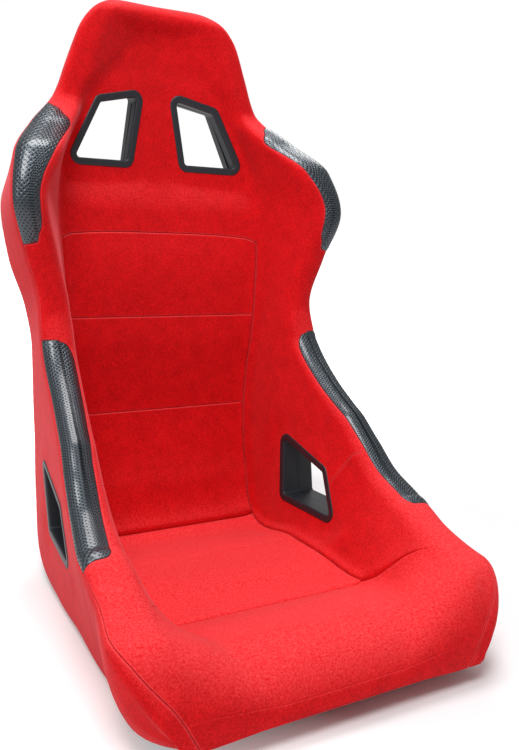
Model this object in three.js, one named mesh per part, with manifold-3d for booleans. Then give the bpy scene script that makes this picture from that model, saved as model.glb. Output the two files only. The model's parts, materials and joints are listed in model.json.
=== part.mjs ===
// Fixed-back racing seat: a welded steel tube frame, sinuous springs, moulded foam pads,
// a sewn cover in panels, grained vinyl wear patches and framed belt slots.
// Millimetres, +Z up, z = 0 is the floor that the two mounting rails stand on.
// The seat faces -Y. +X is the viewer's right from the front, which is the sitter's left.
import * as THREE from 'three';
import { mergeVertices } from 'three/addons/utils/BufferGeometryUtils.js';
import Module from 'manifold-3d';

const wasm = await Module();
wasm.setup();

// ---------------------------------------------------------------- driving dimensions
const GAP = 0.4; // clearance between pieces that touch
const COVER = 2.2; // sewn cover with its scrim foam
const CENTRE_FOAM = 22; // foam behind the centre panels
const SIDE_FOAM = 10; // foam of the bolsters' shells
const ROLL_FOAM = 18; // foam of the front roll
const HEAD_FOAM = 14; // foam behind the head panel

const PIVOT_Y = 150; // the hip fan of sections turns about this line
const PIVOT_Z = 420;
const RECLINE = 9; // degrees, of the back from upright
const FRONT_Y = -50; // foremost section
const CREASE_Y = 142; // seam between the cushion and the front roll
const BACK_TOP = 543; // last section, measured up the back from the hip fan

const SEAM_LOW = 14; // upper ends of the thigh patches, up the back
const SEAM_WAIST = 148; // lower ends of the shoulder patches
const SEAM_CHEST = 176; // top seam of the ribbed back panel
const SEAM_NECK = 322; // upper ends of the shoulder patches
const HIP = 0.5; // share of the fan where the cushion meets the back

const PANEL_FILLET = 34; // centre panel to side wall
const RIM_FILLET = 27; // over the bolsters' rims
const EDGE_FILLET = 18; // lower and rear edges
const REAR_FLAT = 0.6; // share of the rear's half width that is flat
const LIP_LENGTH = 72; // length of the rounded front end
const CROWN_LENGTH = 34; // length of the rounded head end

const TUBE_R = 10; // main tubes
const HOOP_R = 6.5; // bolster hoops
const RAIL_WIDTH = 48;
const RAIL_THICK = 6;
const RAIL_X = 192;
const RAIL_FRONT = 18;
const RAIL_REAR = 400;
const BOLT_R = 4.2; // clearance hole of an M8 bolt
const BOLT_FRONT = 70; // mounting holes along the rail
const BOLT_REAR = 360;
const SPRING_WIRE = 1.9; // radius
const FLANGE = 3.2; // thickness of a slot bezel's flange
const FLANGE_WIDTH = 12;
const SLEEVE = 2.4; // wall of a slot bezel's sleeve
const EASE = 1; // rounding of a bezel's edges

const rad = THREE.MathUtils.degToRad;

// ---------------------------------------------------------------- the seat's sections
// Each section lies in a plane that holds the X direction. Reach is the distance from the
// spine, a line through the sitter: level in front of the hips, then up along the back.
// place: 'cushion' mm ahead of the pivot, 'hip' share of the fan, 'back' mm up the back.
const headAt = (share) => SEAM_NECK + (BACK_TOP - SEAM_NECK) * share; // up the back, in the head
const SECTION_KEYS = ['seat', 'hollow', 'panel', 'wall', 'rim', 'outer', 'edge', 'edgeReach', 'backReach'];
const SECTIONS = [
  { place: 'cushion', at: -50, is: [326, 0, 136, 200, 278, 276, 244, 396, 398] },
  { place: 'cushion', at: 20, is: [326, 0, 150, 212, 276, 282, 241, 398, 400] },
  { place: 'cushion', at: 90, is: [338, 0, 158, 214, 256, 272, 232, 408, 404] },
  { place: 'cushion', at: 142, is: [355, 0, 163, 213, 235, 271, 226, 417, 408] },
  { place: 'hip', at: 0.17, is: [370, 0, 164, 209, 214, 262, 224, 429, 420] },
  { place: 'hip', at: 0.34, is: [410, 0, 164, 205, 196, 256, 222, 470, 460] },
  { place: 'hip', at: 0.5, is: [488, 0, 163, 201, 190, 250, 219, 512, 532] },
  { place: 'hip', at: 0.62, is: [458, 0, 163, 198, 198, 246, 217, 474, 520] },
  { place: 'hip', at: 0.78, is: [420, 3, 164, 193, 218, 241, 216, 426, 486] },
  { place: 'back', at: 0, is: [376, 6, 168, 188, 262, 237, 216, 400, 452] },
  { place: 'back', at: 60, is: [368, 9, 171, 192, 276, 234, 224, 402, 442] },
  { place: 'back', at: 135, is: [364, 12, 174, 212, 262, 254, 246, 404, 438] },
  { place: 'back', at: 210, is: [368, 14, 176, 230, 240, 275, 256, 396, 440] },
  { place: 'back', at: SEAM_NECK - 47, is: [380, 14, 168, 200, 256, 267, 232, 408, 446] },
  { place: 'back', at: SEAM_NECK + 8, is: [379, 10, 146, 164, 312, 228, 198, 420, 448] },
  { place: 'back', at: headAt(0.29), is: [372, 8, 112, 134, 354, 178, 162, 418, 440] },
  { place: 'back', at: headAt(0.54), is: [367, 8, 92, 114, 351, 156, 143, 410, 430] },
  { place: 'back', at: headAt(0.81), is: [362, 7, 74, 96, 348, 132, 120, 398, 418] },
  { place: 'back', at: BACK_TOP, is: [362, 5, 66, 88, 349, 112, 100, 392, 410] },
];

// along: position down the spine as one number, with whole steps at the pivot's planes
const cushionAt = (y) => (y - PIVOT_Y) / 1000;
const hipAt = (share) => share;
const backAt = (mm) => 1 + mm / 1000;
const PLACE = { cushion: cushionAt, hip: hipAt, back: backAt };

function spine(along) {
  const turn = (Math.PI / 2 - rad(RECLINE)) * THREE.MathUtils.clamp(along, 0, 1);
  const out = new THREE.Vector3(0, Math.sin(turn), -Math.cos(turn));
  const centre = new THREE.Vector3(0, PIVOT_Y, PIVOT_Z);
  if (along < 0) centre.y += along * 1000;
  if (along > 1) {
    const up = new THREE.Vector3(0, Math.sin(rad(RECLINE)), Math.cos(rad(RECLINE)));
    centre.addScaledVector(up, (along - 1) * 1000);
  }
  return { centre, out };
}

// Smooth values between the named sections (Catmull-Rom on uneven steps, no overshoot).
function sectionAt(along) {
  const spots = SECTIONS.map((section) => PLACE[section.place](section.at));
  const last = spots.length - 1;
  let i = spots.findIndex((spot) => spot >= along - 1e-9);
  i = THREE.MathUtils.clamp(i < 0 ? last : i, 1, last);
  const span = spots[i] - spots[i - 1];
  const t = THREE.MathUtils.clamp((along - spots[i - 1]) / span, 0, 1);
  const slope = (key, n) => {
    if (n === 0 || n === last) return 0;
    const before = (SECTIONS[n].is[key] - SECTIONS[n - 1].is[key]) / (spots[n] - spots[n - 1]);
    const after = (SECTIONS[n + 1].is[key] - SECTIONS[n].is[key]) / (spots[n + 1] - spots[n]);
    return before * after <= 0 ? 0 : (2 * before * after) / (before + after);
  };
  const values = SECTION_KEYS.map((_, key) => {
    const a = SECTIONS[i - 1].is[key];
    const b = SECTIONS[i].is[key];
    const ma = slope(key, i - 1) * span;
    const mb = slope(key, i) * span;
    return a * (2 * t ** 3 - 3 * t ** 2 + 1) + ma * (t ** 3 - 2 * t ** 2 + t)
      + b * (3 * t ** 2 - 2 * t ** 3) + mb * (t ** 3 - t ** 2);
  });
  return Object.fromEntries(SECTION_KEYS.map((key, n) => [key, values[n]]));
}

// How far the outline has shrunk at a rounded end: 0 where the round starts, 1 at its tip.
const roundIn = (length, depth) => 1 - Math.sqrt(Math.max(0, 1 - (1 - depth / length) ** 2));

const LIP_SEAM_Z = 34; // height of the seam that closes the front end
const LIP_NARROW = 50; // the front end's half width shrinks by this much
const LIP_FOOT = 2.2; // and its lower edge by this many times that
const CROWN_SEAM_REACH = 385; // reach of the seam that closes the head end
const CROWN_NARROW = 46;
const CROWN_NARROWING = 62; // length over which the crown's corners round off
const CROWN_CLOSING = 0.8; // share of the head's thickness that closes before the seam
const SEAM_THICK = 7; // distance between the two faces at a closing seam

const ROUND_STEPS = 2; // chords in each rounded corner of an outline

// Places round an outline, counted in its points from the middle of the front face.
const PANEL_EDGE = 2.5;
const RIM_IN = 5;
const RIM_OUT = 9;
const FOAM_END = 11;
const SIDE_END = 12.5;
const REAR_MID = 15;

// Brings the inner and outer faces together at the seam that closes an end.
function closeTo(s, seamReach, share) {
  const inner = seamReach - SEAM_THICK / 2;
  const outer = seamReach + SEAM_THICK / 2;
  for (const key of ['seat', 'rim']) s[key] = THREE.MathUtils.lerp(s[key], inner, share);
  for (const key of ['edgeReach', 'backReach']) s[key] = THREE.MathUtils.lerp(s[key], outer, share);
  s.hollow *= 1 - share;
}

function outline(along) {
  const s = sectionAt(along);
  const fromFront = (along - cushionAt(FRONT_Y)) * 1000;
  const fromTop = (backAt(BACK_TOP) - along) * 1000;
  if (fromFront < LIP_LENGTH) {
    closeTo(s, PIVOT_Z - LIP_SEAM_Z, roundIn(LIP_LENGTH, fromFront));
    const narrow = LIP_NARROW * roundIn(LIP_LENGTH, fromFront);
    s.outer -= narrow;
    s.wall -= narrow;
    s.panel -= narrow;
    s.edge -= narrow * LIP_FOOT;
  }
  if (fromTop < CROWN_LENGTH) {
    closeTo(s, CROWN_SEAM_REACH, roundIn(CROWN_LENGTH, fromTop) * CROWN_CLOSING);
  }
  if (fromTop < CROWN_NARROWING) {
    const narrow = CROWN_NARROW * roundIn(CROWN_NARROWING, fromTop);
    for (const key of ['panel', 'wall', 'outer', 'edge']) s[key] -= narrow;
  }
  const corners = [
    [0, s.seat + s.hollow, 0],
    [s.panel * 0.55, s.seat + s.hollow * 0.55, 0],
    [s.panel, s.seat, PANEL_FILLET],
    [s.wall, s.rim, RIM_FILLET],
    [s.outer, s.rim, RIM_FILLET],
    [s.edge, s.edgeReach, EDGE_FILLET],
    [s.edge * REAR_FLAT, s.backReach, 0],
    [0, s.backReach, 0],
  ];
  const points = [];
  corners.forEach(([x, reach, fillet], n) => {
    const here = new THREE.Vector2(x, reach);
    if (!fillet) return points.push(here);
    const before = new THREE.Vector2(...corners[n - 1]).sub(here);
    const after = new THREE.Vector2(...corners[n + 1]).sub(here);
    const half = before.angleTo(after) / 2;
    const room = Math.min(before.length(), after.length());
    const cut = THREE.MathUtils.clamp(fillet / Math.tan(half), room * 0.15, room * 0.46);
    const start = here.clone().addScaledVector(before.normalize(), cut);
    const end = here.clone().addScaledVector(after.normalize(), cut);
    const bend = new THREE.QuadraticBezierCurve(start, here, end);
    points.push(...bend.getPoints(ROUND_STEPS));
  });
  return points;
}

// ---------------------------------------------------------------- the grid of the seat's surface
const STATIONS = [
  ...[FRONT_Y, -44, -28, 0, 56, CREASE_Y].map(cushionAt),
  ...[0.2, 0.4, HIP, 0.66, 0.84].map(hipAt),
  ...[SEAM_LOW, 80, SEAM_WAIST, SEAM_CHEST, 212, SEAM_NECK - 58, SEAM_NECK].map(backAt),
  ...[0.27, 0.55, 0.8, 0.93, 1].map(headAt).map(backAt),
];

function at(x, along, reach) {
  const { centre, out } = spine(along);
  return centre.addScaledVector(out, reach).setX(x);
}

const rowOf = (along) => STATIONS.findIndex((station) => Math.abs(station - along) < 1e-9);
const ROW = {
  front: 0,
  crease: rowOf(cushionAt(CREASE_Y)),
  hip: rowOf(hipAt(HIP)),
  low: rowOf(backAt(SEAM_LOW)),
  waist: rowOf(backAt(SEAM_WAIST)),
  chest: rowOf(backAt(SEAM_CHEST)),
  neck: rowOf(backAt(SEAM_NECK)),
  top: STATIONS.length - 1,
};
const SEAM_ROWS = Object.values(ROW);

const GRID = STATIONS.map((along) => outline(along).map((p) => at(p.x, along, p.y)));

// Column numbers run from the middle of the front face (0) to the middle of the rear (REAR_MID);
// negative ones are the mirrored side, and one past the rear middle comes back on that side.
function gridPoint(row, column) {
  const folded = column > REAR_MID ? column - 2 * REAR_MID : column;
  const point = GRID[row][Math.abs(folded)].clone();
  return folded < 0 ? point.setX(-point.x) : point;
}

// On a seam between two rows of pieces the normal is kept in the section's plane, so that the
// pieces meet there on one flat face.
function gridNormal(row, column) {
  const up = gridPoint(Math.min(row + 1, GRID.length - 1), column);
  up.sub(gridPoint(Math.max(row - 1, 0), column));
  const round = gridPoint(row, column + 1).sub(gridPoint(row, column - 1));
  if (SEAM_ROWS.includes(row)) {
    const { out } = spine(STATIONS[row]);
    up.set(1, 0, 0).cross(out);
  }
  return round.cross(up).normalize();
}

// Surface point and outward normal anywhere on the grid, between its lines too.
function surface(row, column) {
  const r = Math.min(Math.floor(row), GRID.length - 2);
  const c = Math.floor(column);
  const mix = (pick) => {
    const low = pick(r, c).lerp(pick(r, c + 1), column - c);
    const high = pick(r + 1, c).lerp(pick(r + 1, c + 1), column - c);
    return low.lerp(high, row - r);
  };
  return { point: mix(gridPoint), normal: mix(gridNormal).normalize() };
}

// The grid lines from one seam to the next.
function linesBetween(from, to) {
  const lines = [from];
  for (let n = Math.floor(from) + 1; n < to - 1e-9; n += 1) lines.push(n);
  return [...lines, to];
}

// Half a gap along the surface from one seam, as a share of a step along the rows or columns.
function halfGap(row, column, rowStep, columnStep, gap) {
  const here = surface(row, column).point;
  const there = surface(row + rowStep, column + columnStep).point;
  return (gap / 2) * (rowStep + columnStep) / here.distanceTo(there);
}

// A slab of the seat's skin: rows and columns between two seams, between two depths.
function slab({ from, to, left, right, outer, depth, gap = GAP }) {
  const rows = linesBetween(from, to);
  const columns = linesBetween(left, right);
  const points = [];
  for (const layer of [0, 1]) {
    for (const row of rows) {
      for (const column of columns) {
        let r = row;
        let c = column;
        if (row === from) r += halfGap(row, column, 0.5, 0, gap);
        if (row === to) r += halfGap(row, column, -0.5, 0, gap);
        if (column === left) c += halfGap(row, column, 0, 0.5, gap);
        if (column === right) c += halfGap(row, column, 0, -0.5, gap);
        const { point, normal } = surface(r, c);
        const inward = layer ? depth(row, Math.abs(column)) : outer(row);
        points.push(point.addScaledVector(normal, -inward));
      }
    }
  }
  const wide = columns.length;
  const size = rows.length * wide;
  const faces = [];
  const quad = (a, b, c, d) => faces.push(a, b, c, a, c, d); // the quads of the two sides mirror each other
  for (let r = 0; r < rows.length - 1; r += 1) {
    for (let c = 0; c < wide - 1; c += 1) {
      const a = r * wide + c;
      const middle = (columns[c] + columns[c + 1]) / 2;
      if (middle > 0 && middle < REAR_MID) {
        quad(a, a + 1, a + wide + 1, a + wide);
        quad(size + a, size + a + wide, size + a + wide + 1, size + a + 1);
      } else {
        quad(a + wide, a, a + 1, a + wide + 1);
        quad(size + a + wide, size + a + wide + 1, size + a + 1, size + a);
      }
    }
  }
  for (let c = 0; c < wide - 1; c += 1) {
    const last = size - wide + c;
    quad(c + 1, c, size + c, size + c + 1);
    quad(last, last + 1, size + last + 1, size + last);
  }
  for (let r = 0; r < rows.length - 1; r += 1) {
    const a = r * wide;
    const b = a + wide - 1;
    quad(a + wide, size + a + wide, size + a, a);
    quad(b + wide, b, size + b, size + b + wide);
  }
  return toGeometry(points, faces);
}

function toGeometry(points, faces) {
  const geometry = new THREE.BufferGeometry();
  geometry.setAttribute('position', new THREE.Float32BufferAttribute(points.flatMap((p) => p.toArray()), 3));
  geometry.setIndex(faces);
  return geometry;
}

// ---------------------------------------------------------------- joining and cutting
function toSolid(geometry) {
  const plain = geometry.clone();
  plain.deleteAttribute('normal');
  plain.deleteAttribute('uv');
  const merged = mergeVertices(plain, 1e-4);
  return new wasm.Manifold(new wasm.Mesh({
    numProp: 3,
    vertProperties: new Float32Array(merged.attributes.position.array),
    triVerts: new Uint32Array(merged.index.array),
  }));
}

function fromSolid(solid) {
  const mesh = solid.getMesh();
  const geometry = new THREE.BufferGeometry();
  const stride = mesh.numProp;
  const positions = [];
  for (let n = 0; n < mesh.vertProperties.length; n += stride) {
    positions.push(mesh.vertProperties[n], mesh.vertProperties[n + 1], mesh.vertProperties[n + 2]);
  }
  geometry.setAttribute('position', new THREE.Float32BufferAttribute(positions, 3));
  geometry.setIndex([...mesh.triVerts]);
  return geometry;
}

const joined = (...geometries) => fromSolid(geometries.map(toSolid).reduce((all, one) => all.add(one)));

function cut(geometry, tools) {
  let solid = toSolid(geometry);
  for (const tool of tools) solid = solid.subtract(toSolid(tool));
  return fromSolid(solid);
}

function mirrored(geometry) {
  const copy = geometry.clone();
  copy.deleteAttribute('normal');
  copy.deleteAttribute('uv');
  const whole = mergeVertices(copy, 1e-4);
  whole.applyMatrix4(new THREE.Matrix4().makeScale(-1, 1, 1));
  const index = whole.index.array;
  for (let n = 0; n < index.length; n += 3) [index[n + 1], index[n + 2]] = [index[n + 2], index[n + 1]];
  return whole;
}

// ---------------------------------------------------------------- tubes and wires
function rod(route, radius, { sides = 8, steps: count }) {
  const section = new THREE.Shape();
  for (let n = 0; n < sides; n += 1) {
    const turn = (n / sides) * Math.PI * 2;
    const corner = [Math.cos(turn) * radius, Math.sin(turn) * radius];
    if (n) section.lineTo(...corner);
    else section.moveTo(...corner);
  }
  section.closePath();
  const path = Array.isArray(route) ? new THREE.CatmullRomCurve3(route, false, 'centripetal') : route;
  const geometry = new THREE.ExtrudeGeometry(section, { steps: count, extrudePath: path });
  geometry.deleteAttribute('normal');
  geometry.deleteAttribute('uv');
  return mergeVertices(geometry, 1e-4);
}

// ---------------------------------------------------------------- belt slots
// Corners of the bezels' outer edges, in the order inner/front low, outer/rear low, up and back.
const HARNESS = [ // across, up the back
  [42, SEAM_NECK - 38], [162, SEAM_NECK - 41], [107, headAt(0.31)], [20, headAt(0.41)],
];
const HARNESS_REAR = [ // the slot widens towards the rear, as the straps fan out
  [36, SEAM_NECK - 48], [174, SEAM_NECK - 49], [120, headAt(0.36)], [14, headAt(0.46)],
];
const LAP = [[241, 108], [394, 103], [424, 222], [290, 191]]; // y, z
const BEZEL_CORNER = 13;
const BEZEL_SINK = 2; // the flange lies this far into the padding
const SLEEVE_SPLIT = 4; // half the space between the two sleeves of a slot

// Reach of the front or rear face at a distance from the middle.
function faceReach(across, along, rear) {
  const points = outline(along);
  const face = rear ? points.slice(SIDE_END - 0.5).reverse() : points.slice(0, RIM_IN + 1);
  let n = face.findIndex((p) => p.x > across);
  n = THREE.MathUtils.clamp(n < 0 ? face.length - 1 : n, 1, face.length - 1);
  const t = (across - face[n - 1].x) / (face[n].x - face[n - 1].x);
  return THREE.MathUtils.lerp(face[n - 1].y, face[n].y, t);
}

// X of a side wall at a height and a distance from the front.
function wallAcross(y, z, outside) {
  const turn = Math.atan2(y - PIVOT_Y, PIVOT_Z - z) / (Math.PI / 2 - rad(RECLINE));
  const reach = Math.hypot(y - PIVOT_Y, z - PIVOT_Z);
  const points = outline(turn);
  const a = outside ? points[RIM_OUT + 1] : points[PANEL_EDGE + 1.5];
  const b = outside ? points[FOAM_END] : points[RIM_IN];
  return THREE.MathUtils.mapLinear(reach, a.y, b.y, a.x, b.x);
}

// A flat frame through four corners, its Z axis pointing to the given side.
function slotPlane(corners, toward) {
  const origin = corners.reduce((sum, p) => sum.add(p), new THREE.Vector3()).multiplyScalar(0.25);
  const across = corners[1].clone().sub(corners[0]).add(corners[2]).sub(corners[3]);
  const up = corners[3].clone().sub(corners[0]).add(corners[2]).sub(corners[1]);
  const z = across.clone().cross(up).normalize();
  if (z.dot(toward) < 0) z.negate();
  const x = across.normalize();
  const y = z.clone().cross(x).normalize();
  const matrix = new THREE.Matrix4().makeBasis(x, y, z).setPosition(origin);
  const flat = corners.map((p) => {
    const local = p.clone().sub(origin);
    return new THREE.Vector2(local.dot(x), local.dot(y));
  });
  if (THREE.ShapeUtils.area(flat) < 0) flat.reverse();
  return { matrix, flat, origin, z };
}

// The four-sided outline moved inwards, with round corners.
function roundedOutline(flat, inset, radius, Kind = THREE.Shape) {
  const count = flat.length;
  const edges = flat.map((p, n) => {
    const along = flat[(n + 1) % count].clone().sub(p).normalize();
    const inward = new THREE.Vector2(-along.y, along.x);
    return { start: p.clone().addScaledVector(inward, inset), along };
  });
  const corners = edges.map((edge, n) => {
    const before = edges[(n + count - 1) % count];
    const offset = edge.start.clone().sub(before.start);
    const t = offset.cross(edge.along) / before.along.cross(edge.along);
    return before.start.clone().addScaledVector(before.along, t);
  });
  const path = new Kind();
  corners.forEach((corner, n) => {
    const before = edges[(n + count - 1) % count].along;
    const after = edges[n].along;
    const start = corner.clone().addScaledVector(before, -radius);
    const end = corner.clone().addScaledVector(after, radius);
    if (n) path.lineTo(start.x, start.y);
    else path.moveTo(start.x, start.y);
    if (radius) path.quadraticCurveTo(corner.x, corner.y, end.x, end.y);
  });
  path.closePath();
  return path;
}

function prism(shape, from, to, matrix) {
  const options = { depth: to - from, bevelEnabled: false, curveSegments: ROUND_STEPS };
  const geometry = new THREE.ExtrudeGeometry(shape, options);
  geometry.translate(0, 0, from);
  return geometry.applyMatrix4(matrix);
}

const cornerRadius = (inset) => Math.max(BEZEL_CORNER - inset * 0.6, 4);

// A moulded bezel: a flat flange with eased edges and a sleeve that lines half of the slot.
function bezel({ flat, matrix }, sleeveLength) {
  const top = FLANGE - BEZEL_SINK;
  const profile = [ // inset from the outer edge, height
    [0, -BEZEL_SINK],
    [0, top - EASE],
    [EASE, top],
    [FLANGE_WIDTH - EASE, top],
    [FLANGE_WIDTH, top - EASE],
    [FLANGE_WIDTH, -sleeveLength],
    [FLANGE_WIDTH - SLEEVE, -sleeveLength],
    [FLANGE_WIDTH - SLEEVE, -BEZEL_SINK],
  ];
  const loops = profile.map(([inset, height]) => {
    const round = roundedOutline(flat, inset, cornerRadius(inset)).getPoints(ROUND_STEPS);
    if (round[0].distanceTo(round.at(-1)) < 1e-6) round.pop();
    return round.map((p) => new THREE.Vector3(p.x, p.y, height));
  });
  const count = loops[0].length;
  const faces = [];
  loops.forEach((loop, n) => {
    const next = ((n + 1) % loops.length) * count;
    for (let k = 0; k < count; k += 1) {
      const after = (k + 1) % count;
      faces.push(n * count + k, n * count + after, next + after);
      faces.push(n * count + k, next + after, next + k);
    }
  });
  return toGeometry(loops.flat(), faces).applyMatrix4(matrix);
}

// What a bezel takes away: all of the cover under its flange, and a pocket and a hole in the foam.
function bezelCuts(plane, sleeveLength) {
  const clear = sleeveLength + SLEEVE_SPLIT * 2;
  const beyond = 24;
  const flange = roundedOutline(plane.flat, -GAP, cornerRadius(0));
  const pocket = roundedOutline(plane.flat, -GAP, 0);
  const hole = roundedOutline(plane.flat, FLANGE_WIDTH - SLEEVE - GAP * 2, 0);
  return {
    cover: [prism(flange, -COVER * 6, beyond, plane.matrix)],
    foam: [
      prism(pocket, -BEZEL_SINK - GAP, beyond, plane.matrix),
      prism(hole, -clear, beyond, plane.matrix),
    ],
  };
}

function slot(nearCorners, farCorners, toward) {
  const near = slotPlane(nearCorners, toward);
  const far = slotPlane(farCorners, toward.clone().negate());
  const thick = Math.abs(far.origin.clone().sub(near.origin).dot(near.z));
  const sleeve = thick / 2 - SLEEVE_SPLIT;
  return {
    near: bezel(near, sleeve),
    far: bezel(far, sleeve),
    nearCuts: bezelCuts(near, sleeve),
    farCuts: bezelCuts(far, sleeve),
  };
}

const harnessSlot = slot(
  HARNESS.map(([x, up]) => at(x, backAt(up), faceReach(x, backAt(up), false))),
  HARNESS_REAR.map(([x, up]) => at(x, backAt(up), faceReach(x, backAt(up), true))),
  new THREE.Vector3(0, -1, 0),
);
const lapSlot = slot(
  LAP.map(([y, z]) => new THREE.Vector3(wallAcross(y, z, false), y, z)),
  LAP.map(([y, z]) => new THREE.Vector3(wallAcross(y, z, true), y, z)),
  new THREE.Vector3(-1, 0, 0),
);

// ---------------------------------------------------------------- the assembly
const seat = new THREE.Group();
const FABRIC = { color: '#c8181e', roughness: 0.95, metalness: 0 };
const VINYL = { color: '#2c3038', roughness: 0.5, metalness: 0 };
const PLASTIC = { color: '#1f2228', roughness: 0.45, metalness: 0 };
const FOAM = { color: '#d8cfae', roughness: 1, metalness: 0 };
const LINING = { color: '#17181a', roughness: 0.95, metalness: 0 };
const COATED_STEEL = { color: '#1b1c1e', roughness: 0.4, metalness: 0.6 };
const SPRING_STEEL = { color: '#8b9095', roughness: 0.35, metalness: 0.9 };

function add(name, geometry, finish) {
  const mesh = new THREE.Mesh(geometry, new THREE.MeshStandardMaterial(finish));
  mesh.name = name;
  seat.add(mesh);
}

function addPair(name, geometry, finish) {
  add(`${name}_right`, mirrored(geometry), finish); // the sitter's right, at -X
  add(`${name}_left`, geometry, finish);
}

const OPPOSITE = 2 * REAR_MID;

const SEAM_GAP = 0.7; // between two cover panels
const CLOSING_GAP = 3; // extra space under the cover where the two ends round over
const CLOSING_FOAM = 3; // foam left at the very ends

// 0 along most of the seat, rising to 1 at the tips of its rounded front and head ends.
function closing(row) {
  const along = STATIONS[Math.round(row)];
  const fromFront = (along - cushionAt(FRONT_Y)) * 1000;
  const fromTop = (backAt(BACK_TOP) - along) * 1000;
  return Math.max(0, 1 - fromFront / LIP_LENGTH, 1 - fromTop / CROWN_LENGTH);
}

const noDepth = () => 0;
const coverSlab = (from, to, left, right) => slab({
  from, to, left, right, outer: noDepth, depth: () => COVER, gap: SEAM_GAP,
});
const underCover = (row) => COVER + GAP + CLOSING_GAP * closing(row);
const foamSlab = (from, to, left, right, thick) => slab({
  from,
  to,
  left,
  right,
  outer: underCover,
  depth: (row, column) =>
      underCover(row) + THREE.MathUtils.lerp(thick(row, column), CLOSING_FOAM, closing(row)),
});
const bothSides = (cuts) => [...cuts, ...cuts.map(mirrored)];

function buildCover() {
  const harnessFront = bothSides(harnessSlot.nearCuts.cover);
  const harnessRear = bothSides(harnessSlot.farCuts.cover);
  add('front_roll_cover', coverSlab(ROW.front, ROW.crease, -SIDE_END, SIDE_END), FABRIC);
  add('cushion_cover', coverSlab(ROW.crease, ROW.hip, -PANEL_EDGE, PANEL_EDGE), FABRIC);
  add('back_panel_cover', coverSlab(ROW.hip, ROW.chest, -PANEL_EDGE, PANEL_EDGE), FABRIC);
  add('head_panel_cover', cut(coverSlab(ROW.chest, ROW.top, -PANEL_EDGE, PANEL_EDGE), harnessFront), FABRIC);
  const inner = coverSlab(ROW.crease, ROW.top, PANEL_EDGE, RIM_IN);
  addPair('inner_side_cover', cut(inner, [...harnessSlot.nearCuts.cover, ...lapSlot.nearCuts.cover]), FABRIC);
  addPair('thigh_wear_patch', coverSlab(ROW.crease, ROW.low, RIM_IN, RIM_OUT), VINYL);
  addPair('waist_cover', coverSlab(ROW.low, ROW.waist, RIM_IN, RIM_OUT), FABRIC);
  addPair('shoulder_wear_patch', coverSlab(ROW.waist, ROW.neck, RIM_IN, RIM_OUT), VINYL);
  addPair('head_side_cover', coverSlab(ROW.neck, ROW.top, RIM_IN, RIM_OUT), FABRIC);
  const outer = coverSlab(ROW.crease, ROW.top, RIM_OUT, SIDE_END);
  addPair('outer_side_cover', cut(outer, lapSlot.farCuts.cover), FABRIC);
  const rear = coverSlab(ROW.hip, ROW.top, SIDE_END, OPPOSITE - SIDE_END);
  add('rear_cover', cut(rear, harnessRear), FABRIC);
  const base = coverSlab(ROW.front, ROW.hip, SIDE_END, OPPOSITE - SIDE_END);
  add('base_lining', cut(base, bothSides([railSpace()])), LINING);
}

// Full depth in the middle of a panel, thinner where it meets the side wall.
function panelDepth(row, column) {
  const inside = THREE.MathUtils.clamp(column, 1, PANEL_EDGE);
  return THREE.MathUtils.mapLinear(inside, 1, PANEL_EDGE, CENTRE_FOAM, SIDE_FOAM + 2);
}

const rollDepth = (row, column) => (column > RIM_OUT ? SIDE_FOAM : ROLL_FOAM);
const headDepth = (row, column) => (column < 1.5 ? HEAD_FOAM : SIDE_FOAM);

function buildFoam() {
  const sideDepth = () => SIDE_FOAM;
  const harnessFront = bothSides(harnessSlot.nearCuts.foam);
  const lapCuts = [...lapSlot.nearCuts.foam, ...lapSlot.farCuts.foam];
  add('front_roll_foam', foamSlab(ROW.front + 1, ROW.crease, -FOAM_END, FOAM_END, rollDepth), FOAM);
  add('cushion_foam', foamSlab(ROW.crease, ROW.hip, -PANEL_EDGE, PANEL_EDGE, panelDepth), FOAM);
  add('back_foam', foamSlab(ROW.hip, ROW.chest, -PANEL_EDGE, PANEL_EDGE, panelDepth), FOAM);
  const upper = foamSlab(ROW.chest, ROW.neck, -PANEL_EDGE, PANEL_EDGE, panelDepth);
  add('upper_back_foam', cut(upper, harnessFront), FOAM);
  const thigh = foamSlab(ROW.crease, ROW.low, PANEL_EDGE, FOAM_END, sideDepth);
  addPair('thigh_bolster_foam', cut(thigh, lapCuts), FOAM);
  const shoulder = foamSlab(ROW.low, ROW.neck, PANEL_EDGE, FOAM_END, sideDepth);
  addPair('shoulder_bolster_foam', cut(shoulder, harnessSlot.nearCuts.foam), FOAM);
  const head = foamSlab(ROW.neck, ROW.top - 2, -FOAM_END, FOAM_END, headDepth);
  add('head_foam', cut(head, harnessFront), FOAM);
}

function buildBezels() {
  addPair('harness_bezel_front', harnessSlot.near, PLASTIC);
  addPair('harness_bezel_rear', harnessSlot.far, PLASTIC);
  addPair('lap_bezel_inner', lapSlot.near, PLASTIC);
  addPair('lap_bezel_outer', lapSlot.far, PLASTIC);
}

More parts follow.
